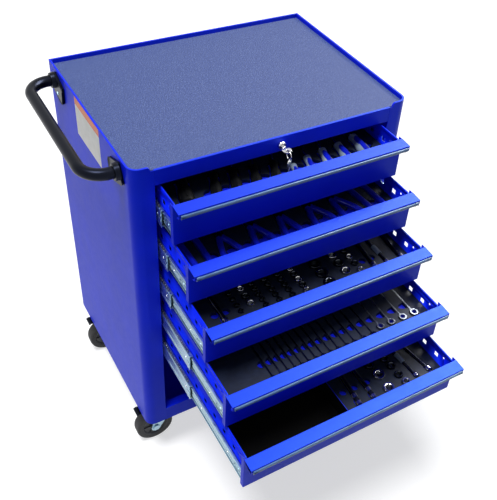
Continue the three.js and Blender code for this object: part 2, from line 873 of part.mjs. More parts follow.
// Push handle: one tube bent from bracket to bracket.
function handleTube() {
  const seat = -halfWidth - seam - bracketPlate - seam;
  const bendX = -handleX + bendRadius;
  const bendY = handleHalfSpan - bendRadius;
  const plan = [
    point(seat, handleHalfSpan),
    ...arc(bendX, bendY, bendRadius, Math.PI / 2, Math.PI),
    ...arc(bendX, -bendY, bendRadius, Math.PI, Math.PI * 1.5),
    point(seat, -handleHalfSpan),
  ];
  const route = new Route(plan.map((place) => new THREE.Vector3(place.x, place.y, rimTop - handleDrop)));
  const section = new THREE.Shape(arc(0, 0, tubeRadius, 0, Math.PI * 2, roundSides).slice(0, -1));
  return new THREE.ExtrudeGeometry(section, { steps: plan.length - 1, extrudePath: route });
}

// Rear handle bracket: a kite-shaped plate on the side panel with a socket for the tube.
function handleBracket() {
  const inner = -halfWidth - seam;
  const outer = inner - bracketPlate;
  const corners = bracketCorners.map(([across, drop]) => point(handleHalfSpan + across, rimTop - drop));
  const plate = alongX(roundedPolygon(corners, bracketRound, arcSteps / 2), outer, inner);
  const bossRadius = tubeRadius + seam + bossWall;
  const boss = placedAtHandle(bar(bossRadius, xAxis, outer - socketDepth, outer + bite));
  const socket = placedAtHandle(bore(tubeRadius + seam, xAxis, outer - socketDepth - overrun, outer));
  const [screwAcross, screwDrop] = screwPlace;
  const screw = bar(screwRadius, xAxis, outer - screwHead, outer + bite, smallSides);
  screw.translate(0, handleHalfSpan + screwAcross, rimTop - screwDrop);
  return join(cut(join(plate, boss), socket), screw);
}

function placedAtHandle(piece) {
  return piece.translate(0, handleHalfSpan, rimTop - handleDrop);
}

// The same bracket mirrored to the front end of the handle.
function frontBracket() {
  return mirrored(handleBracket().rotateZ(Math.PI));
}

// Lock body: bezel, threaded barrel through the rail and its nut, bored for the key plug.
function lockHousing() {
  const face = front - seam;
  const bezel = bar(bezelRadius, yAxis, face - bezelProud, face);
  const barrel = bar(barrelRadius, yAxis, face - bite, front + barrelDepth);
  const nutFront = front + wall + seam;
  const nut = bar(lockNutRadius, yAxis, nutFront, nutFront + lockNutThick, arcSteps);
  const plugHole = bore(plugRadius + seam, yAxis, face - bezelProud - overrun,
    front + barrelDepth + overrun);
  return cut(join(bezel, barrel, nut), plugHole).translate(0, 0, lockZ);
}

// Key with its plug, the long rod to the back and the crank that turns the locking bar.
function lockKey() {
  const face = front - seam - bezelProud;
  const plug = bar(plugRadius, yAxis, face - plugProud, front + barrelDepth + crankThick);
  const bowCentre = bowCentreY();
  const bow = bar(bowRadius, zAxis, -keyThick / 2, keyThick / 2).translate(0, bowCentre, 0);
  const shoulder = block(-shoulderWidth / 2, shoulderWidth / 2, bowCentre, face, -keyThick / 2,
    keyThick / 2);
  const hole = bore(keyHoleRadius, zAxis, -keyThick, keyThick, roundSides);
  const rod = bar(rodRadius, yAxis, front + barrelDepth, crankRear, smallSides);
  const crank = bar(crankRadius, yAxis, crankRear - crankThick, crankRear);
  const pinEnd = barY - leverNear + pegSkew + pegRadius;
  const pin = bar(crankPinRadius, yAxis, crankRear - bite, pinEnd, smallSides);
  const solid = join(plug, shoulder, bow, rod, crank, pin.translate(-crankPinX, 0, crankPinX));
  const holeY = bowCentre - bowRadius + keyWeb + keyHoleRadius;
  return cut(solid, hole.translate(0, holeY, 0)).translate(0, 0, lockZ);
}

function bowCentreY() {
  return front - seam - bezelProud - shoulderLength - bowRadius;
}

// Plain ring hanging from the web of metal between the key's hole and its edge.
function keyRing() {
  const ring = new THREE.TorusGeometry(ringRadius, ringWire, arcSteps, roundSides * 2);
  ring.rotateY(Math.PI / 2);
  const webY = bowCentreY() - bowRadius + keyWeb / 2;
  const drop = ringRadius - ringWire - keyThick / 2 - ringSag;
  return ring.translate(0, webY, lockZ - drop);
}

// Locking bar: a round bar in two bearings, with a lever at its top, a collar that rests on the
// lower bearing and one finger for each drawer.
function lockBar() {
  const low = flangeTop(drawerCount - 1) - rearDrop - barTail;
  const lever = lockLever();
  const round = bar(barRadius, zAxis, low, leverTop(), smallSides);
  const seat = flangeTop(drawerCount - 1) + guideSpace + guideHeight / 2 + seam;
  const collar = bar(collarRadius, zAxis, seat, seat + collarHeight, smallSides);
  const fingers = restOpenings.map((_, i) => lockFinger(flangeTop(i)));
  return join(round, collar, lever, ...fingers).translate(0, barY, 0);
}

function leverTop() {
  return lockZ + crankPinX - crankPinRadius - lockClearance;
}

// Lever with two pegs that stand on either side of the crank pin.
function lockLever() {
  const low = leverTop() - leverThick;
  const high = lockZ + crankThrow + crankPinRadius;
  const half = pegSpread + pegRadius;
  const plate = block(-half, half, -leverReach, 0, low, leverTop());
  const pegs = [1, -1].map((side) => bar(pegRadius, zAxis, low, high, smallSides)
    .translate(side * pegSpread, -leverReach, 0));
  return join(plate, ...pegs).rotateZ(-barSwing / 2);
}

// A finger that reaches over the rear wall of a closed drawer, with its tip turned down.
function lockFinger(top) {
  const armBottom = top - rearDrop + fingerOver;
  const armTop = armBottom + fingerHeight;
  const arm = block(-fingerWidth / 2, fingerWidth / 2, -fingerReach, 0, armBottom, armTop);
  const tip = block(-fingerTip / 2, fingerTip / 2, -fingerReach - fingerTip / 2,
    -fingerReach + fingerTip / 2, top - rearDrop - fingerDepth, armTop);
  return join(arm, tip).rotateZ(-fingerStart);
}

// Wheel with a flat-bottomed tread, a recessed web and a hub, bored for the axle.
function casterWheel() {
  const tread = wheelRadius / Math.cos(Math.PI / wheelSides);
  const side = wheelWidth / 2;
  const web = side - rimRecess;
  const inner = (axleRadius + seam) / Math.cos(Math.PI / wheelSides);
  const half = [
    [inner, side + hubOverhang],
    [hubRadius, side + hubOverhang],
    [hubRadius, web],
    [wheelRimRadius, web],
    [wheelRimRadius, side],
    [tread - treadShoulder, side],
    [tread, side - treadShoulder],
  ];
  const other = half.map(([radius, place]) => [radius, -place]).reverse();
  return turned([...other, ...half].reverse(), wheelSides);
}

// Pair of fork legs with the crown between them and the axle through their feet.
function forkBody(trail, crownHigh, legTopHalfWidth, pinPlace) {
  const inside = wheelWidth / 2 + hubOverhang + seam;
  const crownLow = crownHigh - crownThick;
  const leg = new THREE.Shape([
    point(-legTopHalfWidth, crownHigh),
    ...arc(-trail, wheelRadius, legEnd, Math.PI, Math.PI * 2),
    point(legTopHalfWidth, crownHigh),
  ]);
  let near = alongY(leg, -inside - legThick, -inside);
  let far = alongY(leg, inside, inside + legThick);
  if (pinPlace) {
    const ear = bar(pinPlace.radius, yAxis, inside, inside + legThick);
    const hole = bore(pedalPin + seam, yAxis, -inside - legThick - overrun, inside + legThick + overrun,
      smallSides);
    const placedEar = ear.translate(pinPlace.x, 0, pinPlace.z);
    const placedHole = hole.translate(pinPlace.x, 0, pinPlace.z);
    far = cut(join(far, placedEar), placedHole);
    near = cut(join(near, placedEar.clone().translate(0, -2 * inside - legThick, 0)), placedHole);
  }
  const crown = block(-legTopHalfWidth, legTopHalfWidth, -inside - bite, inside + bite, crownLow, crownHigh);
  const axleEnd = inside + legThick + axleHeadThick;
  const axle = bar(axleRadius, yAxis, -axleEnd, axleEnd);
  const heads = [1, -1].map((side) => bar(axleHead, yAxis, side * (inside + legThick - bite),
    side * axleEnd, arcSteps));
  const axleParts = [axle, ...heads].map((piece) => piece.translate(-trail, 0, wheelRadius));
  return join(near, far, crown, ...axleParts);
}

// Bolted top plate of a caster.
function casterPlate(low, high) {
  const corners = [
    point(-plateLength / 2, -plateWidth / 2),
    point(plateLength / 2, -plateWidth / 2),
    point(plateLength / 2, plateWidth / 2),
    point(-plateLength / 2, plateWidth / 2),
  ];
  const plate = alongZ(roundedPolygon(corners, plateCorner, arcSteps / 2), low, high);
  const holes = [1, -1].flatMap((sx) => [1, -1].map((sy) => {
    const hole = bore(plateBoltRadius, zAxis, low - overrun, high + overrun, smallSides);
    return hole.translate((sx * plateBoltLength) / 2, (sy * plateBoltWidth) / 2, 0);
  }));
  return cut(plate, ...holes);
}

// Swivel caster's fixed plate with its upper race and riveted kingpin.
function swivelPlate() {
  const high = casterHeight - seam;
  const low = high - plateThick;
  const raceLow = low - raceHeight;
  const crownLow = crownTop() - crownThick;
  const race = bar(raceRadius, zAxis, raceLow, low + bite, wheelSides / 2);
  const pin = bar(kingpinRadius, zAxis, crownLow - seam - bite, raceLow + bite);
  const head = bar(kingpinHead, zAxis, crownLow - seam - kingpinHeadThick, crownLow - seam);
  return join(casterPlate(low, high), race, pin, head);
}

// Height of the top of a swivel fork's crown.
function crownTop() {
  return casterHeight - crownDrop;
}

// Swivel caster's fork: legs, crown and the lower race round the kingpin.
function swivelFork() {
  const pinPlace = { x: -pedalPivotX, z: pedalPivotZ(), radius: legEnd / 2 };
  const body = forkBody(casterTrail, crownTop(), legTopHalf, pinPlace);
  const raceHigh = casterHeight - seam - plateThick - raceHeight - seam;
  const race = bar(raceRadius, zAxis, crownTop() - bite, raceHigh, wheelSides / 2);
  const hole = bore(kingpinRadius + seam, zAxis, crownTop() - crownThick - overrun, raceHigh + overrun);
  return cut(join(body, race), hole);
}

function pedalPivotZ() {
  return casterHeight - pedalPivotDrop;
}

// Brake pedal: a bent plate on a cross barrel that turns between the fork's legs.
function brakePedal() {
  const inside = wheelWidth / 2 + hubOverhang + seam;
  const barrel = bar(pedalBarrel, yAxis, -inside + seam, inside - seam, smallSides);
  const pins = bar(pedalPin, yAxis, -inside - legThick, inside + legThick, smallSides);
  const place = [-pedalPivotX, 0, pedalPivotZ()];
  const tipZ = casterHeight - pedalTipDrop;
  const path = [
    point(-pedalPivotX, pedalPivotZ() + pedalBarrel - bite),
    point(-pedalKneeX, casterHeight - pedalKneeDrop),
    point(-pedalTipX + pedalNose, tipZ),
    point(-pedalTipX, tipZ - pedalNose / 2),
  ];
  const plate = alongY(bentSheet(path, -pedalMetal), -pedalWidth / 2, pedalWidth / 2);
  return join(barrel.translate(...place), pins.translate(...place), plate);
}

// Fixed caster's fork, made in one with its top plate.
function fixedFork() {
  const high = casterHeight - seam;
  const low = high - plateThick;
  return join(forkBody(0, low + bite, legTopHalf, null), casterPlate(low, high));
}

function addSwivelCaster(parent, name, x, y) {
  const caster = group(parent, x, y, 0);
  mesh(`${name}_plate`, swivelPlate(), zinc, caster);
  mesh(`${name}_fork`, swivelFork(), zinc, caster);
  mesh(`${name}_brake_pedal`, brakePedal(), blackPaint, caster);
  mesh(`${name}_wheel`, casterWheel(), tyreBlack, group(caster, -casterTrail, 0, wheelRadius));
}

function addFixedCaster(parent, name, x, y) {
  const caster = group(parent, x, y, 0);
  mesh(`${name}_fork`, fixedFork(), zinc, caster);
  mesh(`${name}_wheel`, casterWheel(), tyreBlack, group(caster, 0, 0, wheelRadius));
}

function addCabinet(parent) {
  mesh("left_side_panel", mirrored(sidePanel()), paintBlue, parent);
  mesh("right_side_panel", sidePanel(), paintBlue, parent);
  mesh("back_panel", backPanel(), paintBlue, parent);
  mesh("deck_panel", deckPanel(), paintBlue, parent);
  mesh("top_mat", topMat(), rubberMat, parent);
  mesh("top_rail", topRail(), paintBlue, parent);
  mesh("floor_panel", floorPanel(), paintBlue, parent);
  mesh("left_slide_frame", mirrored(slideFrame()), zinc, parent);
  mesh("right_slide_frame", slideFrame(), zinc, parent);
}

function addHandle(parent) {
  mesh("handle_tube", handleTube(), blackPaint, parent);
  mesh("handle_bracket_front", frontBracket(), blackPaint, parent);
  mesh("handle_bracket_rear", handleBracket(), blackPaint, parent);
}

function addLock(parent) {
  mesh("lock_housing", lockHousing(), chrome, parent);
  mesh("lock_key", lockKey(), chrome, parent);
  mesh("key_ring", keyRing(), chrome, parent);
  mesh("lock_bar", lockBar(), zinc, parent);
}

const cart = new THREE.Group();
const frame = group(cart, originShiftX, originShiftY, 0);
addCabinet(frame);
addHandle(frame);
addLock(frame);
restOpenings.forEach((_, i) => {
  addDrawer(frame, i);
  addSlideMiddles(frame, i);
});
const casterX = halfWidth - casterInsetX;
const casterY = back - casterInsetY;
addSwivelCaster(frame, "caster_front_left", -casterX, -casterY);
addSwivelCaster(frame, "caster_rear_left", -casterX, casterY);
addFixedCaster(frame, "caster_front_right", casterX, -casterY);
addFixedCaster(frame, "caster_rear_right", casterX, casterY);

export default cart;
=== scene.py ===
"""Looks of a five-drawer tool cart with an open lower bay, built around its packed frame.

The cabinet is folded sheet steel under glossy blue powder coat, on four casters. Each class below
dresses one sub-assembly: it takes its places from the frame and adds the fine shape and finish.
"""

import json
import logging
import math
from collections.abc import Sequence
from dataclasses import dataclass, field
from enum import Enum

import bmesh
import bpy
from bmesh.types import BMesh, BMEdge, BMVert
from bpy.types import Material, Object
from mathutils import Matrix, Vector
from mathutils.geometry import delaunay_2d_cdt

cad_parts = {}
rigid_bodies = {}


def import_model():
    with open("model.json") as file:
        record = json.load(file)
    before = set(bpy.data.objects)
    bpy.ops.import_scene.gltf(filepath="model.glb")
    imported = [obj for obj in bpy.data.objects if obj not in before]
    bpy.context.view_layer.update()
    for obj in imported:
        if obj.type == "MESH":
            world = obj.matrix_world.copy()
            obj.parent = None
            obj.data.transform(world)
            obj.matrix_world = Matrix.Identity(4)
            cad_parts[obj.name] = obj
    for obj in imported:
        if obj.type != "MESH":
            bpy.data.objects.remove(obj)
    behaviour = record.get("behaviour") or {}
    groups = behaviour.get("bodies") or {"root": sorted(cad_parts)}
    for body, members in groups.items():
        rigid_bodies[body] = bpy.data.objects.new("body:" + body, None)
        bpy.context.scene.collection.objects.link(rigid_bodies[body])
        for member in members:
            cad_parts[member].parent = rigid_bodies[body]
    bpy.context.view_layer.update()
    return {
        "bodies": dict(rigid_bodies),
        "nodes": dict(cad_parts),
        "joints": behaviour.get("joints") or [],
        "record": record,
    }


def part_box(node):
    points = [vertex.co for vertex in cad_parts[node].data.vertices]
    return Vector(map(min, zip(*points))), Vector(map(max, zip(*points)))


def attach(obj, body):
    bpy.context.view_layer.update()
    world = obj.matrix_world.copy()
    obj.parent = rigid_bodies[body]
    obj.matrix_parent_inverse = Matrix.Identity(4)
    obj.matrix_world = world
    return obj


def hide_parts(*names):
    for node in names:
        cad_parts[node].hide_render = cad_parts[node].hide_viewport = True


MM = 0.001
PHOTO_WIDTH = 497
PHOTO_HEIGHT = 500
WELD = 0.002 * MM

log = logging.getLogger("tool_cart")


def linear(code: str) -> tuple[float, float, float, float]:
    """Turns an sRGB hex colour into linear light.

    Args:
        code: Six hex digits with a leading hash.

    Returns:
        Red, green, blue and an alpha of one.
    """
    parts = [int(code[i:i + 2], 16) / 255 for i in (1, 3, 5)]
    lit = [c / 12.92 if c <= 0.04045 else ((c + 0.055) / 1.055) ** 2.4 for c in parts]
    return (lit[0], lit[1], lit[2], 1.0)


class Nodes:
    """A node tree that starts empty, with one way to add a node."""

    def __init__(self, tree: bpy.types.NodeTree) -> None:
        """Empties the tree."""
        self.tree = tree
        tree.nodes.clear()

    def add(self, kind: str, inputs: dict | None = None, **settings: object) -> bpy.types.Node:
        """Adds a node.

        Args:
            kind: The node's type name.
            inputs: Socket name or index to a value, or to another socket to link from.
            settings: Attributes of the node itself.

        Returns:
            The new node.
        """
        made = self.tree.nodes.new(kind)
        for key, value in settings.items():
            setattr(made, key, value)
        for key, value in (inputs or {}).items():
            if isinstance(value, bpy.types.NodeSocket):
                self.tree.links.new(value, made.inputs[key])
            else:
                made.inputs[key].default_value = value
        return made

    def direct(self) -> bpy.types.NodeSocket:
        """Returns one for rays that come from the camera, a glossy face or clear glass."""
        path = self.add("ShaderNodeLightPath")
        shiny = self.add("ShaderNodeMath", {0: path.outputs["Is Glossy Ray"],
                                            1: path.outputs["Is Transmission Ray"]}, operation="MAXIMUM")
        either = self.add("ShaderNodeMath", {0: path.outputs["Is Camera Ray"], 1: shiny.outputs[0]},
                          operation="MAXIMUM")
        return either.outputs[0]


class Shade(Nodes):
    """A material and its nodes."""

    def __init__(self, name: str) -> None:
        """Starts an empty node material with its output."""
        self.material = bpy.data.materials.new(name)
        self.material.use_nodes = True
        super().__init__(self.material.node_tree)
        self.output = self.add("ShaderNodeOutputMaterial")

    def place(self) -> bpy.types.NodeSocket:
        """Returns the object's own coordinates, in metres."""
        return self.add("ShaderNodeTexCoord").outputs["Object"]

    def stretched(self, scale: tuple[float, float, float]) -> bpy.types.NodeSocket:
        """Returns the object's coordinates scaled by axis, for a grain that runs one way."""
        return self.add("ShaderNodeMapping", {"Vector": self.place(), "Scale": scale}).outputs["Vector"]

    def noise(self, size: float, detail: float = 3.0,
              vector: bpy.types.NodeSocket | None = None) -> bpy.types.NodeSocket:
        """Returns a noise value whose blotches are about the given size in metres."""
        made = self.add("ShaderNodeTexNoise", {"Vector": vector or self.place(), "Scale": 1 / size,
                                               "Detail": detail})
        return made.outputs["Fac"]

    def ramp(self, value: bpy.types.NodeSocket, low: float, high: float, start: tuple, end: tuple
             ) -> bpy.types.NodeSocket:
        """Returns a colour that goes from start at low to end at high."""
        made = self.add("ShaderNodeValToRGB", {"Fac": value})
        made.color_ramp.elements[0].position = low
        made.color_ramp.elements[0].color = start
        made.color_ramp.elements[1].position = high
        made.color_ramp.elements[1].color = end
        return made.outputs["Color"]

    def spread(self, value: bpy.types.NodeSocket, low: float, high: float) -> bpy.types.NodeSocket:
        """Returns a value stretched from the noise's usual range to low and high."""
        made = self.add("ShaderNodeMapRange", {"Value": value, "From Min": 0.3, "From Max": 0.7,
                                               "To Min": low, "To Max": high})
        return made.outputs["Result"]

    def bump(self, height: bpy.types.NodeSocket, depth: float, strength: float = 1.0
             ) -> bpy.types.NodeSocket:
        """Returns a normal bumped by a height of the given depth in metres."""
        made = self.add("ShaderNodeBump", {"Height": height, "Distance": depth, "Strength": strength})
        return made.outputs["Normal"]

    def finish(self, inputs: dict) -> Material:
        """Wires a principled surface to the output.

        Args:
            inputs: Values and links of the surface shader.

        Returns:
            The finished material.
        """
        surface = self.add("ShaderNodeBsdfPrincipled", inputs)
        self.tree.links.new(surface.outputs["BSDF"], self.output.inputs["Surface"])
        return self.material


@dataclass(frozen=True)
class PowderCoat:
    """Glossy powder coat on sheet steel: an even colour under a clear skin with faint orange peel."""

    name: str
    colour: str
    shadow: str
    gloss: str = "#ffffff"
    peel: float = 6 * MM
    roughness: float = 0.52
    ior: float = 1.5

    def material(self) -> Material:
        """Builds the coat: the peel is drawn at six millimetres, as coarse as shows from a step away."""
        shade = Shade(self.name)
        broad = shade.noise(90 * MM, 2.0)
        tone = shade.ramp(broad, 0.35, 0.65, linear(self.shadow), linear(self.colour))
        return shade.finish({
            "Base Color": tone,
            "Roughness": shade.spread(shade.noise(14 * MM), self.roughness - 0.02,
                                      self.roughness + 0.02),
            "IOR": self.ior,
            "Specular Tint": linear(self.gloss),
            "Normal": shade.bump(shade.noise(self.peel, 1.0), 0.01 * MM),
        })


@dataclass(frozen=True)
class PlatedSteel:
    """Bright-drawn or zinc-plated steel: a metal with fine drawing lines along one axis."""

    name: str
    colour: str
    dark: str
    roughness: float
    lines: tuple[float, float, float] = (900.0, 60.0, 900.0)

    def material(self) -> Material:
        """Builds the plate: lines under a millimetre wide vary its colour and roughness."""
        shade = Shade(self.name)
        grain = shade.noise(1.0, 4.0, shade.stretched(self.lines))
        return shade.finish({
            "Base Color": shade.ramp(grain, 0.3, 0.7, linear(self.dark), linear(self.colour)),
            "Metallic": 1.0,
            "Roughness": shade.spread(grain, self.roughness - 0.06, self.roughness + 0.08),
            "Normal": shade.bump(grain, 0.01 * MM),
        })


@dataclass(frozen=True)
class MouldedPlastic:
    """Injection-moulded plastic or dipped vinyl: an even colour with a light spark-eroded grain."""

    name: str
    colour: str
    shadow: str
    roughness: float = 0.4
    grain: float = 0.9 * MM
    coat: float = 0.0
    ior: float = 1.46

    def material(self) -> Material:
        """Builds the plastic: the grain is drawn near one millimetre so that it shows at all."""
        shade = Shade(self.name)
        fine = shade.noise(self.grain, 2.0)
        broad = shade.noise(25 * MM, 2.0)
        return shade.finish({
            "Base Color": shade.ramp(broad, 0.35, 0.65, linear(self.shadow), linear(self.colour)),
            "Roughness": shade.spread(fine, self.roughness - 0.05, self.roughness + 0.05),
            "IOR": self.ior,
            "Coat Weight": self.coat,
            "Coat Roughness": 0.1,
            "Normal": shade.bump(fine, 0.02 * MM),
        })


@dataclass(frozen=True)
class SpeckledRubber:
    """Slate-blue rubber sheet with pale and dark flecks and a pebbled face."""

    name: str
    base: str
    pale: str
    dark: str
    fleck: float = 2.5 * MM

    def material(self) -> Material:
        """Builds the mat: flecks are drawn at about two millimetres, where they read as speckle."""
        shade = Shade(self.name)
        pebble = shade.noise(self.fleck, 4.0)
        second = shade.noise(self.fleck * 0.55, 3.0)
        tone = shade.ramp(pebble, 0.36, 0.66, linear(self.dark), linear(self.base))
        flecks = shade.ramp(second, 0.57, 0.7, (0, 0, 0, 1), (1, 1, 1, 1))
        mixed = shade.add("ShaderNodeMix", {0: flecks, 6: tone, 7: linear(self.pale)},
                          data_type="RGBA")
        return shade.finish({
            "Base Color": mixed.outputs[2],
            "Roughness": shade.spread(second, 0.68, 0.86),
            "IOR": 1.35,
            "Normal": shade.bump(pebble, 0.12 * MM, 0.6),
        })


@dataclass(frozen=True)
class CellFoam:
    """Cross-linked foam: matt, nearly black, with fine closed cells on its cut face."""

    name: str
    colour: str
    shadow: str
    cell: float = 1.1 * MM
    roughness: float = 0.55
    ior: float = 1.3

    def material(self) -> Material:
        """Builds the foam: cells are drawn at a millimetre, so that the face isn't a flat black."""
        shade = Shade(self.name)
        cells = shade.add("ShaderNodeTexVoronoi", {"Vector": shade.place(), "Scale": 1 / self.cell})
        height = cells.outputs["Distance"]
        tone = shade.ramp(shade.noise(12 * MM), 0.3, 0.7, linear(self.shadow), linear(self.colour))
        return shade.finish({
            "Base Color": tone,
            "Roughness": shade.spread(shade.noise(self.cell), self.roughness - 0.06, self.roughness + 0.06),
            "IOR": self.ior,
            "Normal": shade.bump(height, 0.08 * MM, 0.5),
        })


@dataclass(frozen=True)
class Finishes:
    """Every finish on the cart, built once."""

    blue_paint: PowderCoat = PowderCoat("royal_blue_powder_coat", "#0316ea", "#0314e2", "#6cc8ff")
    black_paint: PowderCoat = PowderCoat("black_powder_coat", "#08090d", "#050608", "#b8c8ff", 5 * MM, 0.3,
                                         1.27)
    zinc: PlatedSteel = PlatedSteel("zinc_plated_steel", "#a9c4d2", "#8fa9b8", 0.28)
    chrome: PlatedSteel = PlatedSteel("nickel_plate", "#e9e9ea", "#b9babd", 0.12)
    wrench_steel: PlatedSteel = PlatedSteel("drop_forged_steel", "#8e949c", "#3c4047", 0.3)
    black_steel: PlatedSteel = PlatedSteel("black_oxide_steel", "#5c616a", "#1c1e24", 0.2)
    mat: SpeckledRubber = SpeckledRubber("speckled_rubber_mat", "#43589a", "#92a6d6", "#2a3968")
    trim: MouldedPlastic = MouldedPlastic("grey_blue_trim_strip", "#4d74a0", "#3d628e", 0.32)
    foam: CellFoam = CellFoam("black_cross_linked_foam", "#1a2236", "#141a2a", 1.1 * MM, 0.5, 1.25)
    under_foam: CellFoam = CellFoam("blue_under_foam", "#0520f5", "#041ae0")
    liner: CellFoam = CellFoam("black_fibre_liner", "#030304", "#020202", 1.6 * MM, 0.85, 1.15)
    tyre: MouldedPlastic = MouldedPlastic("hard_rubber_tread", "#1b1b1d", "#141415", 0.6, 1.6 * MM)
    wheel: MouldedPlastic = MouldedPlastic("nylon_wheel_centre", "#3a3b3f", "#2e2f33", 0.45)
    vinyl: MouldedPlastic = MouldedPlastic("blue_dipped_vinyl", "#0a1ed0", "#0818b4", 0.3, 2 * MM, 0.4)
    black_grip: MouldedPlastic = MouldedPlastic("black_grip_rubber", "#0a0b0e", "#060709", 0.45, ior=1.22)
    grey_grip: MouldedPlastic = MouldedPlastic("grey_handle_plastic", "#8f9fb0", "#7a8a9c", 0.35)
    label: MouldedPlastic = MouldedPlastic("printed_vinyl_label", "#f2f1ee", "#e9e8e4", 0.4)
    stripe: MouldedPlastic = MouldedPlastic("orange_printed_band", "#f0761c", "#e86d15", 0.4)

    def built(self) -> dict[str, Material]:
        """Builds every finish and returns the materials by field name."""
        return {key: finish.material() for key, finish in vars(Finishes).items()
                if hasattr(finish, "material")}


Point = tuple[float, float]
Part = tuple[BMesh, str]

SMOOTH_ANGLE = math.radians(40)
FLAT_ANGLE = math.radians(0.8)
# A face with five or more corners and at least this many square metres is plain sheet, shaded flat.
FLAT_AREA = 0.00005


class Axis(Enum):
    """The way a turned or extruded part points, as the matrix that takes it there from Z."""

    X = ((0, 0, 1, 0), (1, 0, 0, 0), (0, 1, 0, 0), (0, 0, 0, 1))
    Y = ((1, 0, 0, 0), (0, 0, -1, 0), (0, 1, 0, 0), (0, 0, 0, 1))
    Z = ((1, 0, 0, 0), (0, 1, 0, 0), (0, 0, 1, 0), (0, 0, 0, 1))

    @property
    def matrix(self) -> Matrix:
        """The matrix itself."""
        return Matrix(self.value)


class Side(Enum):
    """Left or right, as the sign of X."""

    LEFT = -1
    RIGHT = 1


def at(x: float, y: float, z: float = 0.0, turn: float = 0.0) -> Matrix:
    """Returns a place: a move after a turn about Z, in millimetres and degrees."""
    return Matrix.Translation((x, y, z)) @ Matrix.Rotation(math.radians(turn), 4, "Z")


def facing(axis: Axis, way: int) -> Matrix:
    """Returns the turn that points a part along X or against Y, or the other way if way is -1."""
    return axis.matrix @ Matrix.Rotation(0 if way > 0 else math.pi, 4, "X")


def arc(x: float, y: float, radius: float, start: float, end: float, steps: int = 8) -> list[Point]:
    """Returns the points of an arc, both ends included, with its angles in degrees."""
    angles = [math.radians(start + (end - start) * i / steps) for i in range(steps + 1)]
    return [(x + radius * math.cos(a), y + radius * math.sin(a)) for a in angles]


def circle(x: float, y: float, radius: float, steps: int = 24) -> list[Point]:
    """Returns the points of a full circle."""
    return arc(x, y, radius, 0, 360, steps)[:-1]


def rounded(corners: list[Point], radius: float, steps: int = 5) -> list[Point]:
    """Returns a polygon's points with each corner rounded to the radius."""
    points: list[Point] = []
    for i, corner in enumerate(corners):
        here = Vector(corner)
        before = (Vector(corners[i - 1]) - here).normalized()
        after = (Vector(corners[(i + 1) % len(corners)]) - here).normalized()
        half = before.angle(after) / 2
        centre = here + (before + after).normalized() * (radius / math.sin(half))
        start = here + before * (radius / math.tan(half)) - centre
        end = here + after * (radius / math.tan(half)) - centre
        sweep = math.atan2(start.cross(end), start.dot(end))
        for k in range(steps + 1):
            turned_by = Matrix.Rotation(sweep * k / steps, 2)
            points.append(tuple(centre + turned_by @ start))
    return points


def rectangle(left: float, right: float, low: float, high: float, radius: float = 0.0) -> list[Point]:
    """Returns a rectangle's outline, with rounded corners if a radius is given."""
    corners = [(left, low), (right, low), (right, high), (left, high)]
    return rounded(corners, radius) if radius else corners


def both_sides(half: list[Point]) -> list[Point]:
    """Returns the outline whose right half is given and whose left half mirrors it."""
    return [(-x, y) for x, y in half] + list(reversed(half))


def bent_sheet(path: list[Point], thick: float) -> list[Point]:
    """Returns the section of a thin sheet bent along a path, which is the sheet's right-hand skin."""
    places = [Vector(point) for point in path]
    ways = [(b - a).normalized() for a, b in zip(places, places[1:])]
    far: list[Point] = []
    for i, place in enumerate(places):
        one, two = ways[max(i - 1, 0)], ways[min(i, len(ways) - 1)]
        left = Vector((-one.y - two.y, one.x + two.x))
        far.append(tuple(place + left * (thick / (1 + one.dot(two)))))
    return [*path, *reversed(far)]


def pierced(outer: list[Point], holes: list[list[Point]], low: float, high: float) -> BMesh:
    """Raises a sheet from low to high, less its holes, which may overlap one another."""
    loops = [outer, *holes]
    corners = [Vector(point) for loop in loops for point in loop]
    rings: list[list[int]] = []
    for loop in loops:
        first = sum(len(ring) for ring in rings)
        ring = list(range(first, first + len(loop)))
        turn = sum(a[0] * b[1] - b[0] * a[1] for a, b in zip(loop, loop[1:] + loop[:1]))
        rings.append(ring if turn > 0 else ring[::-1])
    points, _, cells, _, _, owners = delaunay_2d_cdt(corners, [], rings, 1, 0.001)
    part = bmesh.new()
    verts = [part.verts.new((point.x, point.y, low)) for point in points]
    for cell, inside in zip(cells, owners):
        if list(inside) == [0]:
            part.faces.new([verts[i] for i in cell])
    bmesh.ops.delete(part, geom=[v for v in part.verts if not v.link_faces], context="VERTS")
    bmesh.ops.dissolve_limit(part, angle_limit=FLAT_ANGLE, verts=part.verts, edges=part.edges)
    grown = bmesh.ops.extrude_face_region(part, geom=part.faces[:])["geom"]
    bmesh.ops.translate(part, vec=(0, 0, high - low), verts=[g for g in grown if isinstance(g, BMVert)])
    bmesh.ops.recalc_face_normals(part, faces=part.faces)
    return part


def soften(part: BMesh, width: float, segments: int = 2, angle: float = 35.0) -> BMesh:
    """Bevels the edges of a part that turn by more than an angle in degrees."""
    limit = math.radians(angle)
    sharp = [e for e in part.edges if e.is_manifold and e.calc_face_angle(0.0) > limit]
    bmesh.ops.bevel(part, geom=sharp, offset=width, offset_type="OFFSET", affect="EDGES",
                    segments=segments, profile=0.5, clamp_overlap=True, material=-1)
    return part


def block(low: tuple, high: tuple, edge: float = 0.0) -> BMesh:
    """Makes a box between two corners, with its edges bevelled if a width is given."""
    part = bmesh.new()
    size = Vector(high) - Vector(low)
    middle = (Vector(high) + Vector(low)) / 2
    bmesh.ops.create_cube(part, size=1, matrix=Matrix.LocRotScale(middle, None, size))
    return soften(part, edge) if edge else part


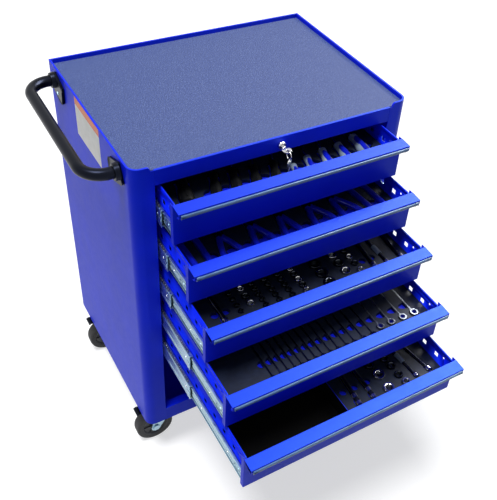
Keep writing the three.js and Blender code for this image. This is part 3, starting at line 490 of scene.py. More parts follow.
def turned(profile: Sequence[Point], sides: int = 32, axis: Axis = Axis.Z) -> BMesh:
    """Turns a closed list of (radius, place along the axis) points a full circle.

    Args:
        profile: The section's corners; the last one joins the first unless both lie on the axis.
        sides: How many steps the circle has.
        axis: Which way the part points. Along Y, a place of +1 stands at Y = -1.
    """
    part = bmesh.new()
    verts = [part.verts.new((radius, 0, place)) for radius, place in profile]
    edges = [part.edges.new(pair) for pair in zip(verts, verts[1:])]
    if profile[0][0] > 0 or profile[-1][0] > 0:
        edges.append(part.edges.new((verts[-1], verts[0])))
    bmesh.ops.spin(part, geom=verts + edges, cent=(0, 0, 0), axis=(0, 0, 1), dvec=(0, 0, 0),
                   angle=math.tau, steps=sides, use_merge=True)
    bmesh.ops.remove_doubles(part, verts=part.verts, dist=0.0005)
    bmesh.ops.recalc_face_normals(part, faces=part.faces)
    part.transform(axis.matrix)
    return part


def prism(outline: Sequence[Point], low: float, high: float, axis: Axis = Axis.Z,
          holes: Sequence[Sequence[Point]] = (), edge: float = 0.0) -> BMesh:
    """Raises an outline with holes from one level to another.

    Args:
        outline: The outer corners: (x, y) along Z, (y, z) along X, (x, z) along Y.
        low: Where the part starts along its axis.
        high: Where it ends.
        axis: Which way it is raised.
        holes: Outlines of openings inside the outer one.
        edge: Bevel width of its sharp edges.
    """
    part = bmesh.new()
    start, end = (-high, -low) if axis is Axis.Y else (low, high)
    edges: list[BMEdge] = []
    for loop in (outline, *holes):
        verts = [part.verts.new((x, y, start)) for x, y in loop]
        edges += [part.edges.new(pair) for pair in zip(verts, verts[1:] + verts[:1])]
    bmesh.ops.triangle_fill(part, edges=edges, use_beauty=False, use_dissolve=False)
    bmesh.ops.dissolve_limit(part, angle_limit=FLAT_ANGLE, verts=part.verts, edges=part.edges)
    grown = bmesh.ops.extrude_face_region(part, geom=part.faces[:])["geom"]
    bmesh.ops.translate(part, vec=(0, 0, end - start), verts=[g for g in grown if isinstance(g, BMVert)])
    bmesh.ops.recalc_face_normals(part, faces=part.faces)
    part.transform(axis.matrix)
    return soften(part, edge) if edge else part


def swept(path: list[Vector], radius: float, sides: int = 24) -> BMesh:
    """Sweeps a round bar along a path of points, with flat ends."""
    part = bmesh.new()
    rings: list[list[BMVert]] = []
    across = Vector((0, 0, 1))
    for i, place in enumerate(path):
        along = (path[min(i + 1, len(path) - 1)] - path[max(i - 1, 0)]).normalized()
        across = (across - along * across.dot(along)).normalized()
        up = along.cross(across)
        angles = [math.tau * k / sides for k in range(sides)]
        rings.append([part.verts.new(place + radius * (math.cos(a) * across + math.sin(a) * up))
                      for a in angles])
    for one, two in zip(rings, rings[1:]):
        for k in range(sides):
            nxt = (k + 1) % sides
            part.faces.new((one[k], one[nxt], two[nxt], two[k]))
    part.faces.new(rings[0])
    part.faces.new(rings[-1])
    bmesh.ops.recalc_face_normals(part, faces=part.faces)
    return part


def ball(x: float, y: float, z: float, radius: float, around: int = 8, up: int = 5) -> BMesh:
    """Makes a small ball with a few dozen faces."""
    part = bmesh.new()
    bmesh.ops.create_uvsphere(part, u_segments=around, v_segments=up, radius=radius,
                              matrix=Matrix.Translation((x, y, z)))
    return part


class Form:
    """One shown piece under construction, in the row frame, in millimetres."""

    def __init__(self, name: str, *finishes: str) -> None:
        """Starts an empty piece with the finishes that its parts may have."""
        self.name = name
        self.finishes = finishes
        self.mesh = bmesh.new()

    def add(self, part: BMesh, finish: str | None = None, place: Matrix | None = None) -> "Form":
        """Adds a part.

        Args:
            part: The part, which is used up.
            finish: One of the piece's finishes, or none for the first.
            place: Where the part goes.
        """
        index = self.finishes.index(finish) if finish else 0
        for face in part.faces:
            face.material_index = index
        if place is not None:
            part.transform(place)
        held = bpy.data.meshes.new(self.name)
        part.to_mesh(held)
        part.free()
        self.mesh.from_mesh(held)
        bpy.data.meshes.remove(held)
        return self


def narrow(face: bmesh.types.BMFace, width: float) -> bool:
    """Tells whether a face is a strip no wider than the sheet's cut edge."""
    return face.calc_area() / max(face.calc_perimeter() / 2, 1e-9) < width


class Workshop:
    """The frame's places and materials, and how a finished form goes on show."""

    def __init__(self, frame: dict) -> None:
        """Keeps the frame's nodes and bodies and builds the materials."""
        self.nodes = frame["nodes"]
        bodies = frame["record"]["behaviour"]["bodies"]
        self.body_of = {node: body for body, nodes in bodies.items() for node in nodes}
        self.materials = Finishes().built()
        left = self.box("left_side_panel")
        right = self.box("right_side_panel")
        self.centre_x = (left[0].x + right[1].x) / 2
        self.half_width = (right[1].x - left[0].x) / 2
        self.front = self.box("top_rail")[0].y
        self.back = self.box("back_panel")[1].y
        self.rim_top = left[1].z

    def box(self, node: str) -> tuple[Vector, Vector]:
        """Returns a frame node's lowest and highest corners in millimetres."""
        low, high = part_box(node)
        return low / MM, high / MM

    def copied(self, node: str) -> BMesh:
        """Returns a frame node's mesh in millimetres, merged, with its flat faces made whole."""
        part = bmesh.new()
        part.from_mesh(self.nodes[node].data)
        bmesh.ops.remove_doubles(part, verts=part.verts, dist=WELD)
        part.transform(Matrix.Scale(1 / MM, 4))
        bmesh.ops.dissolve_limit(part, angle_limit=FLAT_ANGLE, verts=part.verts, edges=part.edges)
        return part

    def folded(self, node: str, fold: float = 1.6, edge: float = 0.3, sheet: float = 1.6) -> BMesh:
        """Returns a sheet-metal node with its folds rounded and its cut edges eased.

        Args:
            node: The frame node.
            fold: Bend radius of the folds.
            edge: Bevel width of the cut edges.
            sheet: A face narrower than this is a cut edge of the sheet.
        """
        part = self.copied(node)
        folds = [e for e in part.edges if e.is_manifold and e.calc_face_angle(0.0) > math.radians(35)
                 and not any(narrow(f, sheet) for f in e.link_faces)]
        bmesh.ops.bevel(part, geom=folds, offset=fold, offset_type="OFFSET", affect="EDGES",
                        segments=3, profile=0.5, clamp_overlap=True, material=-1)
        return soften(part, edge, 2, 50)

    def show(self, form: Form, body: str, *nodes: str) -> Object:
        """Puts a form on show.

        Args:
            form: The finished form.
            body: The frame body that it rides on.
            nodes: Frame nodes that it stands for.
        """
        form.mesh.transform(Matrix.Scale(MM, 4))
        mesh = bpy.data.meshes.new(form.name)
        for face in form.mesh.faces:
            face.smooth = len(face.verts) <= 4 or face.calc_area() < FLAT_AREA
        form.mesh.to_mesh(mesh)
        form.mesh.free()
        for finish in form.finishes:
            mesh.materials.append(self.materials[finish])
        mesh.set_sharp_from_angle(angle=SMOOTH_ANGLE)
        piece = bpy.data.objects.new(form.name, mesh)
        bpy.context.scene.collection.objects.link(piece)
        weighted = piece.modifiers.new("weighted_normals", "WEIGHTED_NORMAL")
        weighted.keep_sharp = True
        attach(piece, body)
        if nodes:
            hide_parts(*nodes)
        log.info("%s: %d faces", form.name, len(mesh.polygons))
        return piece

    def dress(self, node: str, part: BMesh, finish: str) -> Object:
        """Shows a reworked copy of a frame node in place of the node."""
        form = Form(f"{node}_look", finish).add(part)
        return self.show(form, self.body_of[node], node)


@dataclass
class Cabinet:
    """The folded shell, the deck under its mat and the slide members that stay with it."""

    shop: Workshop
    sheets: tuple[str, ...] = ("left_side_panel", "right_side_panel", "back_panel", "deck_panel",
                               "top_rail", "floor_panel")
    label_span: Point = (-78, 72)
    label_bands: tuple[tuple[float, float, str], ...] = ((-100, -22, "label"), (-21.8, -2.5, "stripe"))

    def build(self) -> None:
        """Builds the shell."""
        for node in self.sheets:
            self.shop.dress(node, self.shop.folded(node), "blue_paint")
        for node in ("left_slide_frame", "right_slide_frame"):
            self.shop.dress(node, self.shop.folded(node, fold=1.0, edge=0.25, sheet=1.35), "zinc")
        self.shop.dress("top_mat", soften(self.shop.copied("top_mat"), 0.6), "mat")
        self.label()

    def label(self) -> None:
        """Builds the plain label on the left side: a pale sheet with one printed band."""
        shop = self.shop
        face = shop.centre_x - shop.half_width
        middle = (shop.front + shop.back) / 2
        form = Form("side_label", "label", "stripe")
        near, far = (middle + y for y in self.label_span)
        for low, high, finish in self.label_bands:
            outline = rectangle(near, far, shop.rim_top + low, shop.rim_top + high, 2)
            form.add(prism(outline, face - 0.15, face - 0.01, Axis.X), finish)
        shop.show(form, "cabinet")


@dataclass
class Slides:
    """The drawer and middle members of one drawer's two ball-bearing slides.

    Reach is measured outward from the drawer's side and height from the member's middle. Each path is
    the lower or upper half of a member's section. The dark strip in each ball race, painted shade in the
    groove, is given by its reach and height, and each of the clip's tabs by its reach, its place along Y
    and its height, low and high in turn.
    """

    shop: Workshop
    number: int
    metal: float = 1.2
    ball: float = 1.2
    pitch: float = 8.0
    rows: tuple[float, float] = (22.25, 18.7)
    wall: float = 276.6
    drawer_path: tuple[Point, ...] = ((6.6, 14.8), (6.4, 16.2), (5.4, 16.8), (1.3, 16.8), (0.1, 15.6),
                                      (0.1, 9.6), (4.4, 7.6), (4.4, 4.6), (2.6, 3.2))
    middle_path: tuple[Point, ...] = ((0.1, -21.0), (7.6, -21.0), (8.8, -19.8), (8.8, -14.0), (7.4, -12.4))
    # Reach and height of the dark strip in each ball race, which is painted shade in the groove.
    race_shade: tuple[float, ...] = (1.2, 1.5, 10.4, 13.4)
    screws: tuple[float, ...] = (60.0, 188.0, 316.0)
    screw: tuple[Point, ...] = ((0, -0.2), (2.9, -0.2), (2.9, 0.6), (2.3, 1.2), (1.4, 1.3), (1.2, 0.7),
                                (0, 0.7))
    slot: Point = (8.0, 30.0)
    slot_half: float = 4.0
    rim: float = 1.6
    stop: tuple[Point, ...] = ((0, 0), (3.4, 0), (3.4, 1.1), (2.2, 1.7), (0, 1.7))
    tabs: tuple[tuple[float, ...], ...] = (
        (2.8, 8.6, 0.3, 4.2, 18.9, 23.1), (2.8, 8.6, 8.0, 12.0, 18.9, 23.1),
        (6.6, 8.7, 0.3, 14.0, 14.4, 19.6), (7.0, 8.5, 3.0, 17.0, 3.0, 11.0))

    def build(self) -> None:
        """Builds both middle members."""
        for side in Side:
            self.middle(side)

    def channel(self, path: tuple[Point, ...], foot: float, side: Side, z: float, run: Point) -> BMesh:
        """Makes a rolled channel from half of its section.

        Args:
            path: Half of the sheet's outer skin, as (reach outward, height), up to its middle stretch.
            foot: Distance of reach zero from the cabinet's middle.
            side: Which slide it is.
            z: Height of the member's middle.
            run: Where the channel starts and ends along Y.
        """
        whole = [*path, *((u, -v) for u, v in reversed(path))]
        section = bent_sheet(whole, self.metal)
        centre = self.shop.centre_x
        outline = [(centre + side.value * (foot + u), z + v) for u, v in section]
        return prism(outline, run[0], run[1], Axis.Y, edge=0.2)

    def drawer_member(self, side: Side, run: Point, z: float) -> None:
        """Builds the member on the drawer's side, with its screws and its release slot."""
        out, centre = side.value, self.shop.centre_x
        name = f"drawer_{self.number}_slide_{side.name.lower()}"
        form = Form(name, "zinc", "black_grip", "chrome", "black_steel")
        form.add(self.channel(self.drawer_path, self.wall, side, z, run), "zinc")
        # A dark strip along the bottom of each ball race is painted shade in the groove.
        race = sorted(centre + out * (self.wall + u) for u in self.race_shade[:2])
        for up in (1, -1):
            heights = sorted(z + up * v for v in self.race_shade[2:])
            shade_strip = block((race[0], run[0] + 1, heights[0]), (race[1], run[1] - 1, heights[1]))
            form.add(shade_strip, "black_steel")
        face = centre + out * (self.wall + self.drawer_path[-1][0] + self.metal)
        lie = facing(Axis.X, out)
        for place in self.screws:
            form.add(turned(self.screw, 20), "chrome", at(face, run[0] + place, z) @ lie)
        (start, end), half = self.slot, self.slot_half
        slot = rectangle(start, end, -half, half, half - 0.1)
        wide = half + self.rim
        outer = rectangle(start - self.rim, end + self.rim, -wide, wide, wide - 0.2)
        rim = prism(outer, -0.3, 2.6, holes=[slot], edge=0.25)
        form.add(rim, "zinc", at(face, run[0], z) @ lie)
        # The black plate at the bottom of the release slot is painted shade inside the opening.
        form.add(prism(slot, -0.6, 0.1), "black_grip", at(face, run[0], z) @ lie)
        self.shop.show(form, f"drawer_{self.number}")

    def middle(self, side: Side) -> None:
        """Builds one middle member with its balls, retainers and the clip at its front end."""
        node = f"drawer_{self.number}_slide_middle_{side.name.lower()}"
        low, high = self.shop.box(node)
        z, out = (low.z + high.z) / 2, side.value
        tip = low.x if side is Side.RIGHT else high.x
        foot = abs(tip - self.shop.centre_x)
        form = Form(f"{node}_look", "zinc", "chrome", "wrench_steel")
        form.add(self.channel(self.middle_path, foot, side, z, (low.y, high.y)), "zinc")
        for height in self.rows:
            for up in (1, -1):
                self.balls(form, tip + out * 4.6, low.y, high.y, z + up * height)
        self.clip(form, tip, out, low.y, z)
        self.shop.show(form, f"drawer_{self.number}_slide_middles", node)

    def balls(self, form: Form, x: float, near: float, far: float, z: float) -> None:
        """Adds a row of balls and the strip that spaces them."""
        count = int((far - near - 30) / self.pitch)
        for i in range(count):
            form.add(ball(x, near + 18 + i * self.pitch, z, self.ball), "chrome")
        strip = block((x - 1.8, near + 12, z - 0.3), (x + 1.8, far - 12, z + 0.3), 0.1)
        form.add(strip, "wrench_steel")

    def clip(self, form: Form, tip: float, out: int, near: float, z: float) -> None:
        """Adds the ball cage's bent tabs and stop that show at the member's front end."""
        for u_low, u_high, start, end, v_low, v_high in self.tabs:
            for up in (1, -1):
                ends = sorted((tip + out * u_low, tip + out * u_high))
                heights = sorted((z + up * v_low, z + up * v_high))
                part = block((ends[0], near + start, heights[0]), (ends[1], near + end, heights[1]), 0.5)
                form.add(part, "zinc")
        place = at(tip + out * 7.0, near + 22, z) @ facing(Axis.X, out)
        form.add(turned(self.stop, 20), "chrome", place)


@dataclass
class Handle:
    """The push handle: a bent tube in two kite-shaped brackets."""

    shop: Workshop
    bend: float = 48.0
    tube: float = 13.0
    plate: float = 5.5
    corners: tuple[Point, ...] = ((3, 5), (-55, 26), (-45, 72), (21, 50))
    screw: Point = (-20, 51)

    def build(self) -> None:
        """Builds the tube and both brackets."""
        low, high = self.shop.box("handle_tube")
        z = (low.z + high.z) / 2
        near, far = low.y + self.tube, high.y - self.tube
        x = low.x + self.tube
        plan = [(high.x, far), *arc(x + self.bend, far - self.bend, self.bend, 90, 180, 14),
                *arc(x + self.bend, near + self.bend, self.bend, 180, 270, 14), (high.x, near)]
        tube = soften(swept([Vector((px, py, z)) for px, py in plan], self.tube), 0.8)
        form = Form("handle_tube_look", "black_paint").add(tube)
        self.shop.show(form, "cabinet", "handle_tube")
        for node, y, way in (("handle_bracket_rear", far, 1), ("handle_bracket_front", near, -1)):
            self.bracket(node, y, z, way)

    def bracket(self, node: str, y: float, z: float, way: int) -> None:
        """Builds one bracket: plate, socket and hex-socket screw.

        Args:
            node: The frame node it stands for.
            y: Where the tube's axis is.
            z: Height of the tube's axis.
            way: +1 for the rear bracket and -1 for the front one.
        """
        inner = self.shop.box(node)[1].x
        outer = inner - self.plate
        top = self.shop.rim_top
        outline = rounded([(y + way * a, top - d) for a, d in self.corners], 7, 6)
        form = Form(f"{node}_look", "black_paint", "zinc")
        form.add(prism(outline, outer, inner, Axis.X, edge=1.4), "black_paint")
        socket = [(self.tube + 0.3, 0.5), (self.tube + 6.3, 0.5), (self.tube + 5.6, -2.5),
                  (self.tube + 5.0, -8), (self.tube + 4.2, -9.6), (self.tube + 0.8, -10),
                  (self.tube + 0.3, -9.5)]
        form.add(turned(socket, 40, Axis.X), "black_paint", at(outer, y, z))
        head = [(0, 0.3), (5, 0.3), (5, -1.4), (4.4, -2.3), (2.9, -2.5), (2.7, -1.0), (0, -1.0)]
        place = at(outer, y + way * self.screw[0], top - self.screw[1])
        form.add(turned(head, 24, Axis.X), "zinc", place)
        self.shop.show(form, "cabinet", node)


@dataclass
class Caster:
    """One caster: its plate or fork, its wheel and, if it swivels, its brake pedal."""

    shop: Workshop
    name: str
    swivels: bool
    plate: Point = (52.0, 43.0)
    bolts: Point = (40.0, 30.0)
    leg: float = 3.0
    leg_end: float = 14.0
    leg_top: float = 27.0
    wheel_radius: float = 51.0
    wheel_half: float = 16.0
    inside: float = 18.3

    def build(self) -> None:
        """Builds the caster's pieces."""
        plate = self.shop.box(f"{self.name}_plate" if self.swivels else f"{self.name}_fork")
        wheel = self.shop.box(f"{self.name}_wheel")
        self.top = plate[1].z
        self.x = (plate[0].x + plate[1].x) / 2
        self.y = (wheel[0].y + wheel[1].y) / 2
        self.axle = Vector(((wheel[0].x + wheel[1].x) / 2, self.y, (wheel[0].z + wheel[1].z) / 2))
        if self.swivels:
            self.swivel_plate()
            self.swivel_fork()
            pedal = f"{self.name}_brake_pedal"
            self.shop.dress(pedal, self.shop.folded(pedal, 1.4, 0.4, 2.7), "black_paint")
        else:
            self.fixed_fork()
        self.wheel()

    def plate_part(self, form: Form) -> None:
        """Adds the bolted top plate with its four bolts."""
        holes = [(sx * self.bolts[0], sy * self.bolts[1]) for sx in (1, -1) for sy in (1, -1)]
        cuts = [circle(hx, hy, 4.5, 16) for hx, hy in holes]
        a, b = self.plate
        plate = prism(rounded([(-a, -b), (a, -b), (a, b), (-a, b)], 8, 6), -4, 0, holes=cuts, edge=0.5)
        form.add(plate, "zinc", at(self.x, self.y, self.top))
        for hx, hy in holes:
            nut = soften(prism(circle(0, 0, 7.2, 6), -8.2, -4.1), 0.7)
            form.add(nut, "zinc", at(self.x + hx, self.y + hy, self.top, 15))
            stud = turned([(0, 0), (3.9, 0), (3.9, -9.6), (3.2, -10.4), (0, -10.4)], 16)
            form.add(stud, "zinc", at(self.x + hx, self.y + hy, self.top))

    def legs(self, form: Form, x: float, high: float) -> None:
        """Adds the two legs with the crown between them and the axle bolt."""
        foot = self.axle
        outline = [(x - self.leg_top, high), *arc(foot.x, foot.z, self.leg_end, 180, 360, 12),
                   (x + self.leg_top, high)]
        inner = self.y + self.inside
        outer = inner + self.leg
        for low, far in ((inner, outer), (2 * self.y - outer, 2 * self.y - inner)):
            form.add(prism(outline, low, far, Axis.Y, edge=0.6), "zinc")
        crown = block((x - self.leg_top, self.y - self.inside - 0.2, high - 4),
                      (x + self.leg_top, self.y + self.inside + 0.2, high), 0.4)
        form.add(crown, "zinc")
        axle = turned([(0, -24), (6, -24), (6, 24), (0, 24)], 24, Axis.Y)
        form.add(axle, "zinc", at(foot.x, foot.y, foot.z))
        for way in (1, -1):
            head = soften(prism(circle(0, 0, 10, 6), 21.2, 25.3), 0.8)
            form.add(head, "zinc", at(foot.x, foot.y, foot.z) @ facing(Axis.Y, way))

    def swivel_plate(self) -> None:
        """Builds the fixed half of a swivel: plate, upper race and kingpin."""
        node = f"{self.name}_plate"
        form = Form(f"{node}_look", "zinc")
        self.plate_part(form)
        race = [(0, 0), (27, 0), (27, -1.6), (26, -3.4), (24, -4), (0, -4)]
        form.add(turned(race, 40), "zinc", at(self.x, self.y, self.top - 3.9))
        pin = [(0, -8), (6, -8), (6, -17.4), (9, -17.6), (8.4, -19.6), (5, -20.4), (0, -20.4)]
        form.add(turned(pin, 24), "zinc", at(self.x, self.y, self.top))
        self.shop.show(form, "cabinet", node)

    def swivel_fork(self) -> None:
        """Builds the turning half of a swivel: legs, crown and lower race."""
        node = f"{self.name}_fork"
        form = Form(f"{node}_look", "zinc")
        high = self.top - 12.7
        self.legs(form, self.x, high)
        race = [(6.4, -0.2), (27, -0.2), (27, 2.4), (25.6, 4), (6.4, 4)]
        form.add(turned(race, 40), "zinc", at(self.x, self.y, high))
        self.shop.show(form, f"{self.name}_swivel", node)

    def fixed_fork(self) -> None:
        """Builds a fixed caster's fork, in one with its plate."""
        node = f"{self.name}_fork"
        form = Form(f"{node}_look", "zinc")
        self.plate_part(form)
        self.legs(form, self.x, self.top - 3.8)
        self.shop.show(form, "cabinet", node)

    def wheel(self) -> None:
        """Builds the wheel: tread, rim, recessed web with ribs, and hub."""
        node = f"{self.name}_wheel"
        form = Form(f"{node}_look", "tyre", "wheel")
        r, w = self.wheel_radius, self.wheel_half
        tread = [(36.2, -w + 0.4), (38, -w), (46, -w), (49.2, -w + 1.2), (r - 0.6, -w + 4), (r, -w + 7),
                 (r, w - 7), (r - 0.6, w - 4), (49.2, w - 1.2), (46, w), (38, w), (36.2, w - 0.4)]
        place = at(self.axle.x, self.axle.y, self.axle.z)
        form.add(turned(tread, 64, Axis.Y), "tyre", place)
        web = w - 5
        centre = [(6.4, -w - 2), (12, -w - 2), (13, -w - 1), (13.4, -web), (32, -web), (34.6, -w + 1),
                  (36.2, -w + 0.4), (36.2, w - 0.4), (34.6, w - 1), (32, web), (13.4, web),
                  (13, w + 1), (12, w + 2), (6.4, w + 2)]
        form.add(turned(centre, 48, Axis.Y), "wheel", place)
        for way in (1, -1):
            for i in range(6):
                rib = block((13, way * (web + 1.4) - 1.6, -1.2), (33.6, way * (web + 1.4) + 1.6, 1.2), 0.4)
                spin = Matrix.Rotation(math.radians(60 * i), 4, "Y")
                form.add(rib, "wheel", place @ spin)
        self.shop.show(form, f"{self.name}_wheel", node)


@dataclass
class Lock:
    """The lock in the top rail with its key, ring and a second key hanging from the ring."""

    shop: Workshop
    bow: float = 10.5
    thick: float = 1.6
    hole: float = 4.0
    pin: float = 10.3
    lean: float = 4.0
    twist: float = 35.0

    def build(self) -> None:
        """Builds the lock's pieces."""
        low, high = self.shop.box("lock_housing")
        self.x = (low.x + high.x) / 2
        self.z = (low.z + high.z) / 2
        self.face = low.y
        self.housing(high.y)
        self.key()
        self.ring()
        self.shop.dress("lock_bar", soften(self.shop.copied("lock_bar"), 0.4), "zinc")

    def housing(self, far: float) -> None:
        """Builds the bezel, the threaded barrel and its nut."""
        depth = far - self.face
        bezel = [(5.3, -0.6), (5.7, 0), (7.2, 0), (8.6, -0.9), (9.3, -2.6), (9.3, -8), (7, -8), (7, -depth),
                 (5.3, -depth)]
        form = Form("lock_housing_look", "chrome")
        form.add(turned(bezel, 40, Axis.Y), "chrome", at(self.x, self.face, self.z))
        nut = soften(prism(circle(0, 0, 11, 6), 9.8, 13.6, Axis.Y), 0.6)
        form.add(nut, "chrome", at(self.x, self.face, self.z))
        self.shop.show(form, "cabinet", "lock_housing")

    def key(self) -> None:
        """Builds the key with its plug, the long rod and the crank."""
        low, high = self.shop.box("lock_key")
        form = Form("lock_key_look", "chrome", "zinc")
        centre = low.y + self.bow
        half, here = self.thick / 2, at(self.x, 0, self.z)
        bow = circle(0, centre, self.bow, 32)
        hole = circle(0, centre - 3.9, self.hole, 20)
        form.add(prism(bow, -half, half, holes=[hole], edge=0.35), "chrome", here)
        form.add(block((-4, centre + 8.6, -half), (4, self.face, half), 0.3), "chrome", here)
        rear = high.y - self.pin
        joint = self.face + 36
        plug = [(0, 1.2), (4.6, 1.2), (5, 0.8), (5, -38), (0, -38)]
        rod = [(0, 0), (3, 0), (3, joint - rear), (0, joint - rear)]
        crank = [(0, 0), (9.4, 0), (10, -0.6), (10, -3.4), (9.4, -4), (0, -4)]
        pin = [(0, 0), (2.5, 0), (2.5, 0.4 - self.pin), (2.1, -self.pin), (0, -self.pin)]
        parts = ((plug, 24, "chrome", self.face, 0), (rod, 16, "zinc", joint, 0),
                 (crank, 32, "zinc", rear - 4, 0), (pin, 16, "zinc", rear, 5))
        for profile, sides, finish, y, aside in parts:
            place = at(self.x - aside, y, self.z + aside)
            form.add(turned(profile, sides, Axis.Y), finish, place)
        self.shop.show(form, "lock_key", "lock_key")

    def ring(self) -> None:
        """Builds the ring and the second key that hangs from it."""
        low, high = self.shop.box("key_ring")
        middle = (low + high) / 2
        radius = (high.z - low.z) / 2
        wire = (high.x - low.x) / 2
        loop = circle(radius - wire, 0, wire, 10)
        form = Form("key_ring_look", "chrome")
        form.add(turned(loop, 48, Axis.X), "chrome", Matrix.Translation(middle))
        bottom = low.z + 2 * wire
        spare = Form("spare_key", "chrome", "wrench_steel")
        half = self.thick / 2
        bow = circle(0, 0, self.bow * 0.92, 32)
        hole = circle(0, 5.2, 3.4, 20)
        lie = at(middle.x, middle.y - self.lean, bottom - 7.1, self.twist) @ Axis.Y.matrix
        spare.add(prism(bow, -half, half, holes=[hole], edge=0.35), "chrome", lie)
        blade = [(-3.6, -8.5), (3.6, -8.5), (3.6, -18.2), (2.4, -19), (2.9, -20.2), (1.8, -21.2),
                 (2.6, -22.6), (0.6, -25), (-2.6, -24.2), (-3.6, -22.4)]
        spare.add(prism(blade, 0.1 - half, half - 0.1, edge=0.2), "wrench_steel", lie)
        self.shop.show(form, "key_ring", "key_ring")
        self.shop.show(spare, "key_ring")


@dataclass(frozen=True)
class Screwdriver:
    """A screwdriver whose butt is towards the drawer's front and whose blade runs to the back."""

    grip: float = 100.0
    radius: float = 13.0
    blade: float = 150.0
    two_tone: bool = False

    def outlines(self) -> list[list[Point]]:
        """Returns the pocket round the handle and blade, about the collar."""
        r, g = self.radius + 1.5, self.grip
        half = [(2.6, self.blade + 2), (2.6, 5), (r * 0.6, 4.5), (r * 0.95, 0), (r, -8), (r * 0.9, -26),
                (r, -50), (r, -g + 8), (r * 0.6, -g - 1.5)]
        return [both_sides(half)]

    def parts(self) -> list[Part]:
        """Returns the handle, its inlay and the blade."""
        r, g = self.radius, self.grip
        body = [(0, g), (r * 0.6, g), (r * 0.92, g - 4), (r, g - 12), (r, 52), (r * 0.86, 38), (r * 0.68, 26),
                (r * 0.72, 18), (r * 0.8, 8), (r * 0.78, 3), (r * 0.6, 0.5), (r * 0.35, 0), (0, 0)]
        flat = at(0, 0, 2) @ Matrix.Diagonal((1, 1, 0.92, 1))
        made = [(turned(body, 24, Axis.Y), "grey_grip" if self.two_tone else "black_grip", flat)]
        if self.two_tone:
            core = [(0, g - 6), (r * 0.5, g - 6), (r * 0.56, g - 10), (r * 0.56, 40), (r * 0.42, 22),
                    (r * 0.3, 16), (0, 14)]
            made.append((turned(core, 20, Axis.Y), "vinyl", at(0, 0, 2 + r * 0.5)))
        else:
            for k in range(6):
                angle = math.radians(60 * k)
                rib = block((-1.1, -g + 10, r - 0.8), (1.1, -52, r + 0.7), 0.5)
                made.append((rib, "black_grip", at(0, 0, 2) @ Matrix.Rotation(angle, 4, "Y")))
        shaft = [(0, 1), (3, 1), (3, -self.blade + 14), (2.2, -self.blade), (0, -self.blade)]
        made.append((turned(shaft, 16, Axis.Y), "chrome", at(0, 0, 1)))
        return made


@dataclass(frozen=True)
class Pliers:
    """Pliers whose handles part towards the drawer's front."""

    spread: float = 22.0
    reach: float = 100.0
    jaw: float = 42.0

    def handle(self, way: int) -> list[Vector]:
        """Returns the middle line of one handle from the joint to its end."""
        s, r = self.spread, self.reach
        return [Vector((way * x, -y, 2.0)) for x, y in ((4, 2), (7, 12), (s * 0.62, 30), (s * 0.95, 55),
                                                       (s, 75), (s * 0.9, r))]

    def outlines(self) -> list[list[Point]]:
        """Returns the pocket round jaws and handles, about the joint."""
        s, r, j = self.spread, self.reach, self.jaw
        half = [(4, j + 2), (11, j - 6), (12, 6), (13, -8), (s * 0.62 + 8, -26), (s + 8, -54), (s + 8.5, -76),
                (s * 0.9 + 8, -r), (s * 0.9 + 3, -r - 5)]
        inner = [(s * 0.9 - 8, -r - 3), (s * 0.95 - 9, -r + 12), (s - 9, -70), (s * 0.62 - 7, -38), (2, -24)]
        return [both_sides(half + inner)]

    def parts(self) -> list[Part]:
        """Returns the jaws, the joint and the handles."""
        made = []
        for way in (1, -1):
            grip = swept(self.handle(way), 6.8, 12)
            made.append((soften(grip, 2.0), "vinyl", Matrix.Identity(4)))
            arm = prism([(way * x, y) for x, y in ((0.6, self.jaw), (4, self.jaw - 1), (9.5, 12), (10, 0),
                                                   (8, -10), (3, -10), (0.6, 2))], -2, 7, edge=0.8)
            made.append((arm, "black_steel", Matrix.Identity(4)))
        joint = [(0, 8.6), (6, 8.6), (7.4, 7.8), (7.6, 6.6), (0, 6.6)]
        made.append((turned(joint, 24), "black_steel", Matrix.Identity(4)))
        return made


@dataclass(frozen=True)
class Socket:
    """A socket that stands in the foam with its square drive or its mouth up."""

    radius: float = 8.0
    proud: float = 5.0
    bright: bool = False

    def outlines(self) -> list[list[Point]]:
        """Returns the round pocket."""
        return [circle(0, 0, self.radius + 0.9, 16)]

    def parts(self) -> list[Part]:
        """Returns the turned wall and the six-sided mouth."""
        r, top = self.radius, self.proud
        wall = [(r * 0.58, -12), (r, -12), (r, top - 1.2), (r - 1, top), (r * 0.68, top), (r * 0.58, top - 1)]
        finish = "chrome" if self.bright else "black_steel"
        floor = soften(prism(circle(0, 0, r * 0.6, 6), -11, top - 6), 0.3)
        return [(turned(wall, 24), finish, Matrix.Identity(4)), (floor, "black_steel", Matrix.Identity(4))]


@dataclass(frozen=True)
class Wrench:
    """A combination wrench on edge in a narrow slot, its ring towards the drawer's front."""

    length: float = 180.0
    ring: float = 9.0
    bright: bool = False
    notch: float = 10.0
    finger: float = 28.0
    half: float = 2.4

    def outlines(self) -> list[list[Point]]:
        """Returns the slot with its round end, and the finger notch beside it, about the ring."""
        r, half = self.ring + 1.0, self.half
        lean = math.degrees(math.asin(half / r))
        slot = [(-half, self.length), *arc(0, 0, r, 90 + lean, 450 - lean, 14), (half, self.length)]
        edge, reach = half + 0.5, 10
        notch = [(-edge, self.finger + reach), (-edge, self.finger - reach),
                 *arc(-edge, self.finger, reach, 270, 90, 9)[1:-1]]
        wide = [(-edge + (x + edge) * self.notch / reach, y) for x, y in notch]
        return [slot, wide]

    def parts(self) -> list[Part]:
        """Returns the shaft, the ring and the open end."""
        finish = "wrench_steel" if self.bright else "black_steel"
        r = self.ring
        ring = [(r * 0.6, -3.6), (r - 0.8, -3.6), (r, -2.6), (r, 3.0), (r - 0.8, 4.0), (r * 0.6, 4.0)]
        shaft = block((-1.9, r - 1.5, -9), (1.9, self.length - 22, 0.6), 0.5)
        jaw = prism([(-2.1, 0), (-2.1, 20), (2.1, 20), (2.1, 0)], -12, 1.2, edge=0.5)
        here = Matrix.Identity(4)
        return [(turned(ring, 20), finish, here), (shaft, finish, here),
                (jaw, finish, at(0, self.length - 22))]


